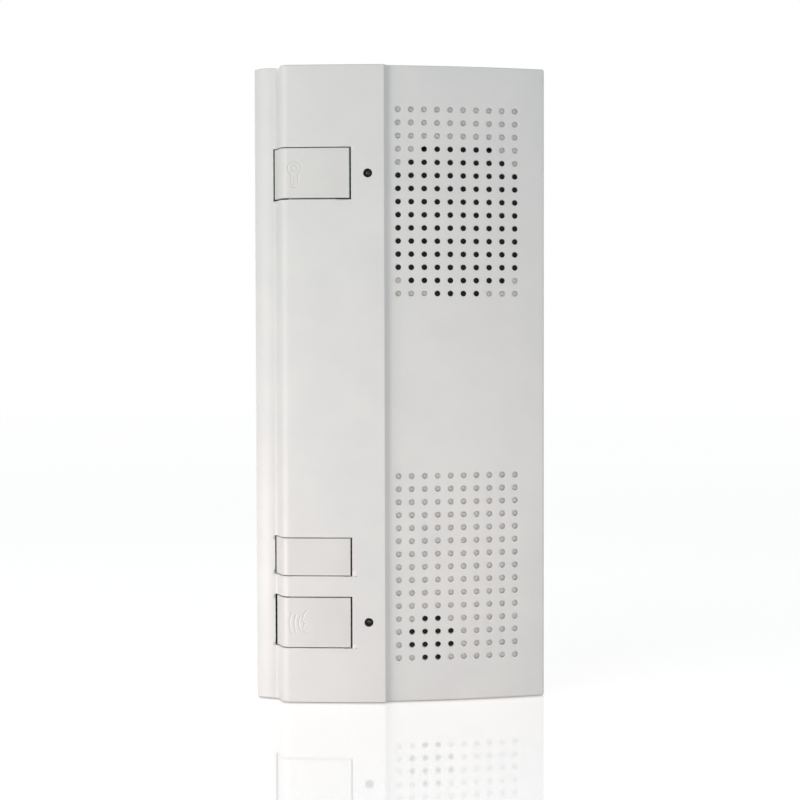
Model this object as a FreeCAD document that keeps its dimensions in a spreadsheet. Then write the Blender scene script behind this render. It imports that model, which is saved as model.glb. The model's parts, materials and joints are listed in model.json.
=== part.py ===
import FreeCAD, Part
import math
import os
import re
import Sketcher
from FreeCAD import Placement, Rotation, Vector

# Indoor intercom unit for hands-free talking: a wall plate with its terminals, and a front housing
# that hangs on two hooks of the plate and carries the buttons, loudspeaker, microphone and board.
#
# Every place is given as the installer sees it: u to the right, v up, w out from the wall.
# In the finished part u is +X, v is +Z and w is -Y. The origin is on the wall, behind the middle.

doc = FreeCAD.newDocument("intercom")
sheet = doc.addObject("Spreadsheet::Sheet", "Sizes")

# Driving dimensions in millimetres, angles in degrees
SIZES = {
    # Housing
    "body_width": 100.6, "body_height": 218.9, "body_depth": 38.0,
    "cover_wall": 2.0, "rim_gap": 1.2, "end_round": 0.5,
    "strip_width": 7.2, "strip_depth": 29.8, "strip_fall": 3.3, "left_round": 0.8,
    "bank_run": 2.4, "bank_foot_round": 1.2, "bank_top_round": 2.5,
    "crown_radius": 430.0, "step_depth": 2.2,
    "step_run": 2.4, "step_top_round": 0.5, "step_foot_round": 2.7,
    "panel_radius": 278.0, "panel_run": 78.65, "right_round": 0.8,
    # Grille
    "grille_pitch": 4.5, "grille_columns": 10, "grille_rows": 15,
    "grille_end_margin": 15.0,
    "hole_radius": 1.0, "dimple_depth": 1.0, "cloth_thickness": 0.5, "cloth_gap": 0.3,
    "cloth_reach": 8.0,
    # Buttons
    "button_left": 6.7, "button_lamp_gap": 5.75, "tall_button": 17.9, "low_button": 13.4,
    "door_drop": 36.95, "service_rise": 50.4, "talk_rise": 27.75,
    "button_side_gap": 0.4, "button_end_gap": 0.3, "opening_reach": 1.5,
    "flange_reach": 1.2, "flange_thickness": 1.2, "flange_length": 16.0, "flange_step": 2.0,
    "stem_radius": 2.0, "press_gap": 0.45,
    # Main board and what holds it
    "board_front": 20.6, "board_thickness": 1.6, "board_side_gap": 3.95, "board_top_gap": 9.6,
    "board_low_gap": 7.6, "board_speaker_gap": 0.8, "shelf_gap": 6.7, "column_gap": 2.5,
    "boss_radius": 3.0, "screw_radius": 1.25, "screw_grip": 4.5, "screw_tip_gap": 0.5,
    "thread_gap": 0.05, "head_radius": 2.6, "head_height": 1.7, "board_hole_gap": 0.35,
    "boss_inset": 14.45, "boss_end_inset": 5.0, "cross_length": 3.0, "cross_width": 0.6,
    # Switches and lamps
    "switch_side": 6.0, "switch_height": 3.5, "plunger_radius": 1.75, "plunger_top": 29.6,
    "plunger_gap": 0.06, "plunger_foot": 1.4, "plunger_well": 0.8,
    "lamp_radius": 1.45, "lamp_gap": 0.1, "lamp_step_gap": 5.3, "lamp_recess": 1.0,
    "lamp_length": 5.3, "lamp_flange_radius": 1.9, "lamp_flange": 1.0,
    "lamp_spacer_radius": 2.5, "lead_side": 0.5, "lead_pitch": 2.54,
    # Loudspeaker
    "speaker_radius": 28.0, "speaker_row": 8.4, "speaker_wall_gap": 0.6,
    "speaker_under_step": 5.1, "speaker_rim": 0.8, "speaker_rim_width": 3.4,
    "open_margin": 0.8, "ring_wall": 1.5, "gasket_thickness": 1.2, "basket_depth": 7.8,
    "basket_foot": 16.0, "basket_sheet": 0.8, "pole_radius": 4.3, "coil_gap": 0.25,
    "coil_wall": 0.45, "magnet_radius": 15.0, "magnet_thickness": 4.0, "plate_thickness": 2.0,
    "cone_radius": 20.5, "cone_sheet": 0.5, "cap_radius": 6.5, "cap_height": 2.6,
    "clamp_radius": 5.0, "clamp_thickness": 0.8, "speaker_boss": 2.7, "speaker_boss_out": 3.5,
    "gasket_lip": 0.6, "cone_lift": 2.0, "cone_drop": 1.2, "surround_roll": 0.55, "cap_sheet": 0.4,
    "cap_gap": 0.05, "plate_inset": 1.0, "yoke_inset": 0.5, "magnet_gap": 1.5, "coil_back_gap": 0.2,
    "basket_flare": 0.6, "basket_shoulder": 1.0, "window_side": 10.0, "window_near": 12.0,
    "window_far": 30.0, "window_lip": 1.4,
    # Microphone
    "mic_column": 2.5, "mic_row": 1.5, "mic_ring_radius": 8.4, "mic_ring_wall": 1.2,
    "mic_ring_gap": 1.5, "mic_radius": 4.85, "mic_length": 5.2, "boot_gap": 0.2, "boot_lip": 1.0,
    "boot_front": 29.2, "boot_way": 1.6, "mic_pin_side": 0.5, "mic_pin_pitch": 2.2,
    # Wall plate
    "plate_gap": 0.5, "base_sheet": 2.5, "base_top_gap": 2.6, "base_rim": 1.5,
    "base_rim_height": 4.0, "base_rim_end": 12.0, "window_width": 30.0, "window_height": 28.0,
    "window_rise": 24.0, "box_screw_pitch": 60.0, "slot_length": 9.0, "slot_radius": 2.1,
    "wall_screw_across": 74.0, "wall_screw_down": 170.0, "wall_hole_radius": 2.1,
    "tongue_width": 11.0, "tongue_proud": 3.0, "release_width": 12.0, "release_rise": 4.0,
    "release_height": 2.5,
    # Hooks
    "hinge_out": 6.5, "hinge_drop": 4.2, "hinge_side": 30.0, "peg_radius": 1.2, "peg_gap": 0.08,
    "hook_width": 6.0, "hook_wall": 1.6, "hook_foot": 9.0, "hook_lip": 0.6, "ear_gap": 0.4,
    "ear_width": 2.0, "ear_margin": 0.8,
    # Terminals and the link to the main board
    "post_height": 3.0, "post_radius": 2.8, "terminal_board_width": 60.0,
    "terminal_board_height": 42.0, "terminal_board_drop": 52.0, "terminal_pitch": 5.08,
    "terminal_count": 7, "post_inset": 4.0, "post_screw": 4.6, "block_height": 10.0,
    "block_depth": 8.0, "block_rise": 10.0, "room_width": 3.6, "room_foot": 1.5, "room_height": 5.0,
    "room_drop": 3.0, "well_radius": 1.9, "cage_width": 3.2, "cage_drop": 2.8, "cage_rise": 2.4,
    "cage_height": 4.7, "way_width": 2.2, "way_foot": 2.4, "way_height": 2.4, "head_bar": 1.7,
    "head_length": 3.0, "head_slot": 0.7, "link_drop": 14.0, "pin_side": 0.64, "pin_pitch": 2.54,
    "pin_strip": 2.5, "pin_tip": 16.5, "socket_depth": 8.4, "socket_slot": 1.6,
    "socket_slot_width": 1.5, "socket_end": 0.5, "socket_height": 4.4,
    # Small parts behind the main board
    "part_inset": 18.45, "solder_gap": 0.35, "relay_width": 20.0, "relay_length": 10.0,
    "relay_height": 11.0, "core_width": 14.0, "core_length": 13.0, "core_height": 11.0,
    "bobbin_width": 10.0, "bobbin_length": 19.0, "bobbin_height": 9.0, "can_radius": 5.0,
    "can_height": 14.0, "small_can_radius": 3.15, "small_can_height": 9.0, "barrel_radius": 1.15,
    "barrel_length": 6.2, "bead_radius": 1.3, "bead_length": 5.0, "chip_height": 3.4,
    "chip_width": 6.4, "chip_lift": 0.5, "chip_end": 0.6, "leg_side": 0.5, "leg_height": 2.4,
    "trimmer_side": 9.5, "trimmer_height": 4.6, "rotor_radius": 3.2, "rotor_gap": 0.08,
    "rotor_depth": 1.6, "rotor_proud": 0.8, "rotor_slot": 0.9, "rotor_slot_length": 4.8,
    # Loudspeaker leads
    "wire_radius": 0.6, "tag_strip_front": 5.2, "tag_strip": 1.2, "tag_strip_height": 11.0,
    "tag_side": 2.0, "tag_pitch": 6.4, "tag_inset": 1.0, "strip_gap": 3.75,
    "plug_out": 7.2, "plug_width": 4.0, "plug_height": 5.6, "plug_pitch": 2.5, "plug_gap": 0.1,
    "plug_foot_gap": 0.2, "header_wall": 0.8, "header_height": 5.5, "header_floor": 1.0,
    "lead_drop": 7.0, "plug_rise": 6.2, "lead_sag": 1.2,
}

for row, (alias, number) in enumerate(SIZES.items(), start=1):
    sheet.set(f"A{row}", alias)
    sheet.set(f"B{row}", str(number))
    sheet.setAlias(f"B{row}", alias)
doc.recompute()

ALIAS = re.compile(r"\b(" + "|".join(SIZES) + r")\b")

# Turns a piece drawn flat on the wall upright: its z axis then points out from the wall.
UPRIGHT = Rotation(Vector(1, 0, 0), 90)
ALONG_U = Rotation(Vector(0, 1, 0), 90)
FIT_IN = 1.0        # how far a tool or a joined piece runs into its neighbour

kept = []


def value(text):
    """What a size expression comes to, in millimetres."""
    return float(sheet.evalExpression(str(text)))


def bind(item, prop, text):
    """Ties a property to the sheet."""
    item.setExpression(prop, ALIAS.sub(r"Sizes.\1", str(text)))


def ordered(first, last):
    """Two sizes, the smaller one first."""
    return (first, last) if value(first) < value(last) else (last, first)


def place(item, u, v, w):
    bind(item, "Placement.Base.x", u)
    bind(item, "Placement.Base.y", f"-({w})")
    bind(item, "Placement.Base.z", v)


def keep(item, label):
    """Names a finished sub-part."""
    item.Label = label
    kept.append(item)
    return item


# Solids that need no sketch


def block(name, u, v, w):
    """A box between two values of u, of v and of w."""
    item = doc.addObject("Part::Box", name)
    bind(item, "Length", f"({u[1]}) - ({u[0]})")
    bind(item, "Width", f"({w[1]}) - ({w[0]})")
    bind(item, "Height", f"({v[1]}) - ({v[0]})")
    place(item, u[0], v[0], w[1])
    return item


def rod(name, radius, u, v, w):
    """A round bar that points out from the wall."""
    item = doc.addObject("Part::Cylinder", name)
    item.Placement = Placement(Vector(), UPRIGHT)
    bind(item, "Radius", radius)
    bind(item, "Height", f"({w[1]}) - ({w[0]})")
    place(item, u, v, w[0])
    return item


def cross_rod(name, radius, u, v, w):
    """A round bar that lies along u."""
    item = doc.addObject("Part::Cylinder", name)
    item.Placement = Placement(Vector(), ALONG_U)
    bind(item, "Radius", radius)
    bind(item, "Height", f"({u[1]}) - ({u[0]})")
    place(item, u[0], v, w)
    return item


def upright_rod(name, radius, u, v, w):
    """A round bar that stands along v."""
    item = doc.addObject("Part::Cylinder", name)
    bind(item, "Radius", radius)
    bind(item, "Height", f"({v[1]}) - ({v[0]})")
    place(item, u, v[0], w)
    return item


def group(name, items):
    """Separate solids under one name."""
    item = doc.addObject("Part::Compound", name)
    item.Links = items
    return item


def fuse(name, items):
    item = doc.addObject("Part::MultiFuse", name)
    item.Shapes = items
    return item


def cut(name, base, tools):
    item = doc.addObject("Part::Cut", name)
    item.Base = base
    item.Tool = tools[0] if len(tools) == 1 else group(name + "_tools", tools)
    return item


def common(name, base, tool):
    item = doc.addObject("Part::Common", name)
    item.Base = base
    item.Tool = tool
    return item


# Bodies drawn from sketches


def new_body(name, u="0", v="0"):
    body = doc.addObject("PartDesign::Body", name)
    body.Placement = Placement(Vector(), UPRIGHT)
    place(body, u, v, "0")
    return body


def new_sketch(body, name, plane, offset):
    """A sketch on one of the body's own planes, moved along its normal."""
    sketch = body.newObject("Sketcher::SketchObject", name)
    origin_plane = [each for each in body.Origin.OriginFeatures if each.Role == plane][0]
    sketch.AttachmentSupport = [(origin_plane, "")]
    sketch.MapMode = "FlatFace"
    bind(sketch, "AttachmentOffset.Base.z", offset)
    return sketch


def hold_point(sketch, geometry, end, across, up):
    """Dimensions one point of a sketch from its origin."""
    for kind, text in (("DistanceX", across), ("DistanceY", up)):
        number = sketch.addConstraint(
            Sketcher.Constraint(kind, -1, 1, geometry, end, value(text)))
        bind(sketch, f"Constraints[{number}]", text)


def arc_between(start, end, radius):
    """The shorter arc, bulging to the right of the way from start to end if radius is negative."""
    chord = end - start
    normal = Vector(-chord.y, chord.x, 0).normalize()
    reach = math.sqrt(radius ** 2 - (chord.Length / 2) ** 2)
    centre = (start + end) * 0.5 + normal * math.copysign(reach, radius)
    angles = [math.atan2(point.y - centre.y, point.x - centre.x) for point in (start, end)]
    if radius < 0:
        angles.reverse()
    return Part.ArcOfCircle(Part.Circle(centre, Vector(0, 0, 1), abs(radius)), *angles)


def loop(sketch, corners):
    """A closed outline. A corner is (across, up), or (across, up, radius) after an arc."""
    points = [Vector(value(corner[0]), value(corner[1]), 0) for corner in corners]
    sides = []
    for number, corner in enumerate(corners):
        start, end = points[number - 1], points[number]
        backwards = False
        if len(corner) == 2:
            side = sketch.addGeometry(Part.LineSegment(start, end))
        else:
            radius = value(corner[2])
            side = sketch.addGeometry(arc_between(start, end, radius))
            backwards = radius < 0
            limit = sketch.addConstraint(Sketcher.Constraint("Radius", side, abs(radius)))
            bind(sketch, f"Constraints[{limit}]", f"abs({corner[2]})")
        sides.append((side, 2, 1) if backwards else (side, 1, 2))
    for number, (side, first, last) in enumerate(sides):
        following, following_first, _ = sides[(number + 1) % len(sides)]
        sketch.addConstraint(
            Sketcher.Constraint("Coincident", side, last, following, following_first))
        hold_point(sketch, side, last, corners[number][0], corners[number][1])


def ring(sketch, radius, across="0", up="0"):
    """A full circle in a sketch."""
    centre = Vector(value(across), value(up), 0)
    side = sketch.addGeometry(Part.Circle(centre, Vector(0, 0, 1), value(radius)))
    number = sketch.addConstraint(Sketcher.Constraint("Radius", side, value(radius)))
    bind(sketch, f"Constraints[{number}]", radius)
    hold_point(sketch, side, 3, across, up)


def rectangle(u, v):
    return [(u[0], v[0]), (u[1], v[0]), (u[1], v[1]), (u[0], v[1])]


def pad(body, sketch, length):
    feature = body.newObject("PartDesign::Pad", sketch.Name + "_pad")
    feature.Profile = sketch
    bind(feature, "Length", length)
    doc.recompute()
    return feature


def pocket(body, sketch, length, backwards=False):
    """A pocket, which has to take something away."""
    before = body.Shape.Volume
    feature = body.newObject("PartDesign::Pocket", sketch.Name + "_pocket")
    feature.Profile = sketch
    feature.Reversed = backwards
    bind(feature, "Length", length)
    doc.recompute()
    if body.Shape.Volume >= before:
        raise RuntimeError(sketch.Name + " cuts nothing")
    return feature


def round_edges(body, name, radius, chosen):
    """Rounds the edges of the body's tip that the test picks."""
    tip = body.Tip
    names = [f"Edge{n}" for n, edge in enumerate(tip.Shape.Edges, start=1) if chosen(edge)]
    if not names:
        raise RuntimeError(name + " finds no edge")
    feature = body.newObject("PartDesign::Fillet", name)
    feature.Base = (tip, names)
    bind(feature, "Radius", radius)
    doc.recompute()
    return feature


def stands_at(u, w, within=0.05):
    """Tests an edge for lying along v at one place of the section."""
    def test(edge):
        ends = [vertex.Point for vertex in edge.Vertexes]
        return len(ends) == 2 and all(
            math.hypot(end.x - value(u), end.z - value(w)) < within for end in ends)
    return test


def plate(name, corners, w, holes=(), u="0", v="0"):
    """A flat piece with round holes, seen from the front: holes are (u, v, radius)."""
    body = new_body(name, u, v)
    sketch = new_sketch(body, name + "_outline", "XY_Plane", w[0])
    loop(sketch, corners)
    for across, up, radius in holes:
        ring(sketch, radius, across, up)
    pad(body, sketch, f"({w[1]}) - ({w[0]})")
    return body


def turned(name, corners, u, v):
    """A round piece about an axis that points out from the wall: corners are (radius, w)."""
    body = new_body(name, u, v)
    sketch = new_sketch(body, name + "_section", "XZ_Plane", "0")
    loop(sketch, corners)
    feature = body.newObject("PartDesign::Revolution", name + "_turned")
    feature.Profile = sketch
    feature.ReferenceAxis = (sketch, ["V_Axis"])
    feature.Angle = 360
    doc.recompute()
    return body


# Places that several pieces share

HALF_WIDTH = "(body_width / 2)"
HALF_HEIGHT = "(body_height / 2)"
CREASE_U = f"(strip_width - {HALF_WIDTH})"
BANK_TOP_U = f"({CREASE_U} + bank_run)"
SPEAKER_U = f"({HALF_WIDTH} - cover_wall - speaker_wall_gap - speaker_radius)"
STEP_FOOT_U = f"({SPEAKER_U} - speaker_radius + speaker_under_step)"
STEP_TOP_U = f"({STEP_FOOT_U} - step_run)"
PANEL_APEX_U = f"({HALF_WIDTH} - panel_run)"
GRILLE_LEFT = f"({SPEAKER_U} - (grille_columns - 1) / 2 * grille_pitch)"
GRILLE_TOP = f"({HALF_HEIGHT} - grille_end_margin)"
GRILLE_BOTTOM = f"(grille_end_margin - {HALF_HEIGHT})"
SPEAKER_V = f"({GRILLE_TOP} - speaker_row * grille_pitch)"
OPEN_RADIUS = "(speaker_radius - open_margin)"
MIC_U = f"({GRILLE_LEFT} + mic_column * grille_pitch)"
MIC_V = f"({GRILLE_BOTTOM} + mic_row * grille_pitch)"
LAMP_U = f"({STEP_TOP_U} - lamp_step_gap)"
BUTTON_LEFT = f"(button_left - {HALF_WIDTH})"
BUTTON_RIGHT = f"({LAMP_U} - button_lamp_gap)"
BUTTON_U = f"(({BUTTON_LEFT} + {BUTTON_RIGHT}) / 2)"
DOOR_V = f"({HALF_HEIGHT} - door_drop)"
SERVICE_V = f"(service_rise - {HALF_HEIGHT})"
TALK_V = f"(talk_rise - {HALF_HEIGHT})"
BOARD_BACK = "(board_front - board_thickness)"
BOARD_SIDE = f"({HALF_WIDTH} - board_side_gap)"
BOARD_TOP = f"({HALF_HEIGHT} - board_top_gap)"
BOARD_LOW = f"(board_low_gap - {HALF_HEIGHT})"
SHELF_V = f"({SPEAKER_V} - speaker_radius - shelf_gap)"
COLUMN_U = f"({LAMP_U} + column_gap)"
SPEAKER_BOSS_REACH = f"((speaker_radius + speaker_boss_out) * cos(45))"
HINGE_V = f"({HALF_HEIGHT} - hinge_drop)"
TERMINAL_W = "(base_sheet + post_height)"
TERMINAL_FRONT = f"({TERMINAL_W} + board_thickness)"
TERMINAL_V = "(-terminal_board_drop)"

BUTTONS = {
    "door": (DOOR_V, "tall_button"),
    "service": (SERVICE_V, "low_button"),
    "talk": (TALK_V, "tall_button"),
}
LAMPS = {"door": DOOR_V, "talk": TALK_V}


def crown_w(u, inset="0"):
    """How far the raised panel, or its inside, stands out at one u."""
    return (f"(body_depth - crown_radius"
            f" + sqrt((crown_radius - {inset})^2 - ({u} - {STEP_TOP_U})^2))")


def panel_w(u, inset="0"):
    """How far the right-hand panel, or its inside, stands out at one u."""
    foot = f"sqrt(panel_radius^2 - ({STEP_FOOT_U} - {PANEL_APEX_U})^2)"
    here = f"sqrt((panel_radius - {inset})^2 - ({u} - {PANEL_APEX_U})^2)"
    return f"(body_depth - step_depth - {foot} + {here})"


STRIP_RADIUS = "((strip_width^2 + strip_fall^2) / (2 * strip_fall))"


def strip_w(u, inset="0"):
    """How far the left-hand strip, or its inside, stands out at one u."""
    return (f"(strip_depth - {STRIP_RADIUS}"
            f" + sqrt(({STRIP_RADIUS} - {inset})^2 - ({u} - {CREASE_U})^2))")


# Front cover


def cover_section(inset, back):
    """The cover's outline across u and w, or the outline of its hollow."""
    rise = f"({crown_w(BANK_TOP_U)} - strip_depth)"
    bank_slope = f"atan({rise} / bank_run)"
    step_slope = "atan(step_depth / step_run)"
    bank_shift = f"({inset} * tan({bank_slope} / 2))"
    step_shift = f"({inset} * tan({step_slope} / 2))"
    left, right = f"({inset} - {HALF_WIDTH})", f"({HALF_WIDTH} - {inset})"
    bank_foot = f"({CREASE_U} + {bank_shift})"
    bank_top = f"({BANK_TOP_U} + {bank_shift})"
    step_top = f"({STEP_TOP_U} - {step_shift})"
    step_foot = f"({STEP_FOOT_U} - {step_shift})"
    return [
        (left, back),
        (left, strip_w(left, inset)),
        (bank_foot, strip_w(bank_foot, inset), f"({inset} - {STRIP_RADIUS})"),
        (bank_top, crown_w(bank_top, inset)),
        (step_top, crown_w(step_top, inset), f"({inset} - crown_radius)"),
        (step_foot, panel_w(step_foot, inset)),
        (right, panel_w(right, inset), f"({inset} - panel_radius)"),
        (right, back),
    ]


def cover_block():
    """The outside of the front cover, solid, with its edges rounded."""
    body = new_body("cover_outside")
    sketch = new_sketch(body, "cover_outside_section", "XZ_Plane", f"-{HALF_HEIGHT}")
    loop(sketch, cover_section("0", "rim_gap"))
    pad(body, sketch, "body_height")
    rounds = [
        ("left_edge_round", "left_round", f"-{HALF_WIDTH}", strip_w(f"-{HALF_WIDTH}")),
        ("bank_foot_fillet", "bank_foot_round", CREASE_U, "strip_depth"),
        ("bank_top_fillet", "bank_top_round", BANK_TOP_U, crown_w(BANK_TOP_U)),
        ("step_top_fillet", "step_top_round", STEP_TOP_U, "body_depth"),
        ("step_foot_fillet", "step_foot_round", STEP_FOOT_U, "(body_depth - step_depth)"),
        ("right_edge_round", "right_round", HALF_WIDTH, panel_w(HALF_WIDTH)),
    ]
    for name, radius, u, w in rounds:
        round_edges(body, name, radius, stands_at(u, w))
    half = value(HALF_HEIGHT)
    back = value("rim_gap")

    def on_end(edge):
        box = edge.BoundBox
        flat = box.YLength < 0.001 and abs(abs(box.Center.y) - half) < 0.001
        return flat and box.ZMax > back + 0.001

    round_edges(body, "end_rounds", "end_round", on_end)
    return body


def cover_hollow():
    """The space inside the front cover, open at the back."""
    body = new_body("cover_inside")
    sketch = new_sketch(body, "cover_inside_section", "XZ_Plane", f"-({HALF_HEIGHT} - cover_wall)")
    loop(sketch, cover_section("cover_wall", f"(rim_gap - {FIT_IN})"))
    pad(body, sketch, "(body_height - 2 * cover_wall)")
    return body


outside = cover_block()
shell = cut("cover_shell", outside, [cover_hollow()])

BOSS_U = f"({HALF_WIDTH} - boss_inset)"
BOARD_BOSSES = [
    (f"-{BOSS_U}", f"({BOARD_TOP} - boss_end_inset)"),
    (f"-{BOSS_U}", f"({SHELF_V} + 18)"),
    (f"-{BOSS_U}", f"({SHELF_V} - 42)"),
    (f"-{BOSS_U}", f"({BOARD_LOW} + boss_end_inset)"),
    (BOSS_U, f"({SHELF_V} - boss_end_inset)"),
    (BOSS_U, f"({BOARD_LOW} + boss_end_inset)"),
]
SPEAKER_BOSSES = [
    (f"({SPEAKER_U} + {across} * {SPEAKER_BOSS_REACH})",
     f"({SPEAKER_V} + {up} * {SPEAKER_BOSS_REACH})")
    for across in (-1, 1) for up in (-1, 1)
]
RING_BACK = "(board_front + speaker_rim + gasket_thickness)"
MIC_RING_BACK = "(board_front + mic_ring_gap)"


def tube(name, outer, inner, u, v, w):
    wide = (f"({w[0]}) - {FIT_IN}", f"({w[1]}) + {FIT_IN}")
    return cut(name, rod(name + "_outer", outer, u, v, w), [rod(name + "_inner", inner, u, v, wide)])


def cover_ribs():
    """Rings, screw bosses and hinge ears inside the cover, trimmed to its outside."""
    ribs = [
        tube("speaker_ring", f"{OPEN_RADIUS} + ring_wall", OPEN_RADIUS, SPEAKER_U, SPEAKER_V,
             (RING_BACK, "body_depth")),
        tube("mic_ring", "mic_ring_radius + mic_ring_wall", "mic_ring_radius", MIC_U, MIC_V,
             (MIC_RING_BACK, "body_depth")),
    ]
    for number, (u, v) in enumerate(BOARD_BOSSES):
        ribs.append(rod(f"board_boss_{number}", "boss_radius", u, v, ("board_front", "body_depth")))
    for number, (u, v) in enumerate(SPEAKER_BOSSES):
        ribs.append(rod(f"speaker_boss_{number}", "speaker_boss", u, v,
                        ("board_front", "body_depth")))
    return common("cover_ribs", fuse("cover_rib_stock", ribs), outside)


def hinge_ears():
    """Two pairs of ears under the cover's top wall, each pair with a peg between them."""
    pieces = []
    inner = "(hook_width / 2 + ear_gap)"
    outer = f"({inner} + ear_width)"
    reach = "(peg_radius + ear_margin)"
    for side, name in ((-1, "left"), (1, "right")):
        middle = f"({side} * hinge_side)"
        for hand in (-1, 1):
            near, far = f"({middle} + {hand} * {inner})", f"({middle} + {hand} * {outer})"
            u = (near, far) if hand > 0 else (far, near)
            pieces.append(block(f"ear_{name}_{'inner' if hand < 0 else 'outer'}", u,
                                (f"{HINGE_V} - {reach}", f"{HALF_HEIGHT} - cover_wall / 2"),
                                (f"hinge_out - {reach}", f"hinge_out + {reach}")))
        pieces.append(cross_rod(f"peg_{name}", "peg_radius",
                                (f"({middle} - {outer} + ear_width / 2)",
                                 f"({middle} + {outer} - ear_width / 2)"), HINGE_V, "hinge_out"))
    return pieces


def grille_tool():
    """One pin for each hole of the grille: long ones in front of the loudspeaker and microphone."""
    pitch, radius = value("grille_pitch"), value("hole_radius")
    wall, depth = value("cover_wall"), value("dimple_depth")
    pins = []
    for start, step in ((GRILLE_TOP, -pitch), (GRILLE_BOTTOM, pitch)):
        for row in range(int(value("grille_rows"))):
            v = value(start) + row * step
            for column in range(int(value("grille_columns"))):
                u = value(GRILLE_LEFT) + column * pitch
                to_speaker = math.hypot(u - value(SPEAKER_U), v - value(SPEAKER_V))
                to_mic = math.hypot(u - value(MIC_U), v - value(MIC_V))
                opens = to_speaker < value(OPEN_RADIUS) or to_mic < value("mic_ring_radius")
                surface = value(panel_w(str(u)))
                low = surface - (wall + FIT_IN if opens else depth)
                pins.append(Part.makeCylinder(radius, surface + FIT_IN - low,
                                              Vector(u, -low, v), Vector(0, -1, 0)))
    tool = doc.addObject("Part::Feature", "grille_pins")
    tool.Shape = Part.makeCompound(pins)
    return tool


def screw_wells(name, places):
    return [rod(f"{name}_{number}", "screw_radius + thread_gap", u, v,
                (f"board_front - {FIT_IN}", "board_front + screw_grip"))
            for number, (u, v) in enumerate(places)]


def front_cover():
    whole = fuse("cover_with_ribs", [shell, cover_ribs()] + hinge_ears())
    tools = [block(f"{name}_opening", (BUTTON_LEFT, BUTTON_RIGHT),
                   (f"{v} - {height} / 2", f"{v} + {height} / 2"),
                   ("strip_depth - cover_wall - opening_reach", f"body_depth + {FIT_IN}"))
             for name, (v, height) in BUTTONS.items()]
    tools += [rod(f"{name}_lamp_hole", "lamp_radius + lamp_gap", LAMP_U, v,
                  (f"body_depth - cover_wall - {FIT_IN}", f"body_depth + {FIT_IN}"))
              for name, v in LAMPS.items()]
    tools += screw_wells("board_well", BOARD_BOSSES)
    tools += screw_wells("speaker_well", SPEAKER_BOSSES)
    tools.append(block("release_slot", ("-release_width / 2", "release_width / 2"),
                       (f"-{HALF_HEIGHT} - {FIT_IN}", f"cover_wall + {FIT_IN} - {HALF_HEIGHT}"),
                       ("rim_gap + release_rise", "rim_gap + release_rise + release_height")))
    machined = cut("cover_machined", whole, tools)
    return keep(cut("front_cover", machined, [grille_tool()]), "front_cover")


# Buttons


def button(name, v, height):
    """A cap cut from the cover's own shape, with a flange behind the wall and a stem."""
    low, high = f"({v} - {height} / 2 + button_end_gap)", f"({v} + {height} / 2 - button_end_gap)"
    zone = block(f"{name}_cap_zone",
                 (f"({BUTTON_LEFT} + button_side_gap)", f"({BUTTON_RIGHT} - button_side_gap)"),
                 (low, high), ("strip_depth - cover_wall", f"body_depth + {FIT_IN}"))
    cap = common(f"{name}_cap", shell, zone)
    left, right = f"({BUTTON_U} - flange_length / 2)", f"({BUTTON_U} + flange_length / 2)"
    flange_front = f"({crown_w(left, 'cover_wall')} - press_gap)"
    flange_back = f"({flange_front} - flange_thickness)"
    flange = block(f"{name}_flange", (left, right),
                   (f"{low} - flange_reach", f"{high} + flange_reach"), (flange_back, flange_front))
    web = block(f"{name}_web", (left, right), (f"{low} + flange_step", f"{high} - flange_step"),
                (flange_back, f"{crown_w(left, 'cover_wall')} + cover_wall / 2"))
    stem = rod(f"{name}_stem", "stem_radius", BUTTON_U, v,
               ("plunger_top + press_gap", f"{flange_back} + {FIT_IN}"))
    return keep(fuse(f"{name}_button", [cap, flange, web, stem]), f"{name}_button")


# Main board and its screws


def main_board():
    """An L-shaped board, with a round bite beside the loudspeaker."""
    left, right = f"-{BOARD_SIDE}", BOARD_SIDE
    corners = [(left, BOARD_LOW), (right, BOARD_LOW), (right, SHELF_V), (COLUMN_U, SHELF_V),
               (COLUMN_U, BOARD_TOP), (left, BOARD_TOP)]
    holes = [(u, v, "screw_radius + board_hole_gap") for u, v in BOARD_BOSSES]
    stock = plate("board_stock", corners, (BOARD_BACK, "board_front"), holes)
    notch = rod("speaker_notch", "speaker_radius + board_speaker_gap", SPEAKER_U, SPEAKER_V,
                (f"{BOARD_BACK} - {FIT_IN}", f"board_front + {FIT_IN}"))
    return keep(cut("main_board", stock, [notch]), "main_board")


def screws(name, places, seat, length, from_front=False):
    """Pan-head screws: seat is the face under the head, length the way from it to the tip."""
    out = 1 if from_front else -1
    arms = ("cross_length / 2", "cross_width / 2")
    pieces = []
    for number, (u, v) in enumerate(places):
        top, middle = f"{seat} + {out} * head_height", f"{seat} + {out} * head_height / 2"
        head = rod(f"{name}_{number}_head", "head_radius", u, v, ordered(seat, top))
        shank = rod(f"{name}_{number}_shank", "screw_radius", u, v,
                    ordered(middle, f"{seat} - {out} * ({length})"))
        cross = [block(f"{name}_{number}_slot_{turn}",
                       (f"{u} - {wide}", f"{u} + {wide}"), (f"{v} - {tall}", f"{v} + {tall}"),
                       ordered(middle, f"{top} + {out} * {FIT_IN}"))
                 for turn, (wide, tall) in enumerate((arms, arms[::-1]))]
        solid = fuse(f"{name}_{number}_solid", [head, shank])
        pieces.append(cut(f"{name}_{number}", solid, [fuse(f"{name}_{number}_cross", cross)]))
    return keep(group(name, pieces), name)


# Push switches and lamps


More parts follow.
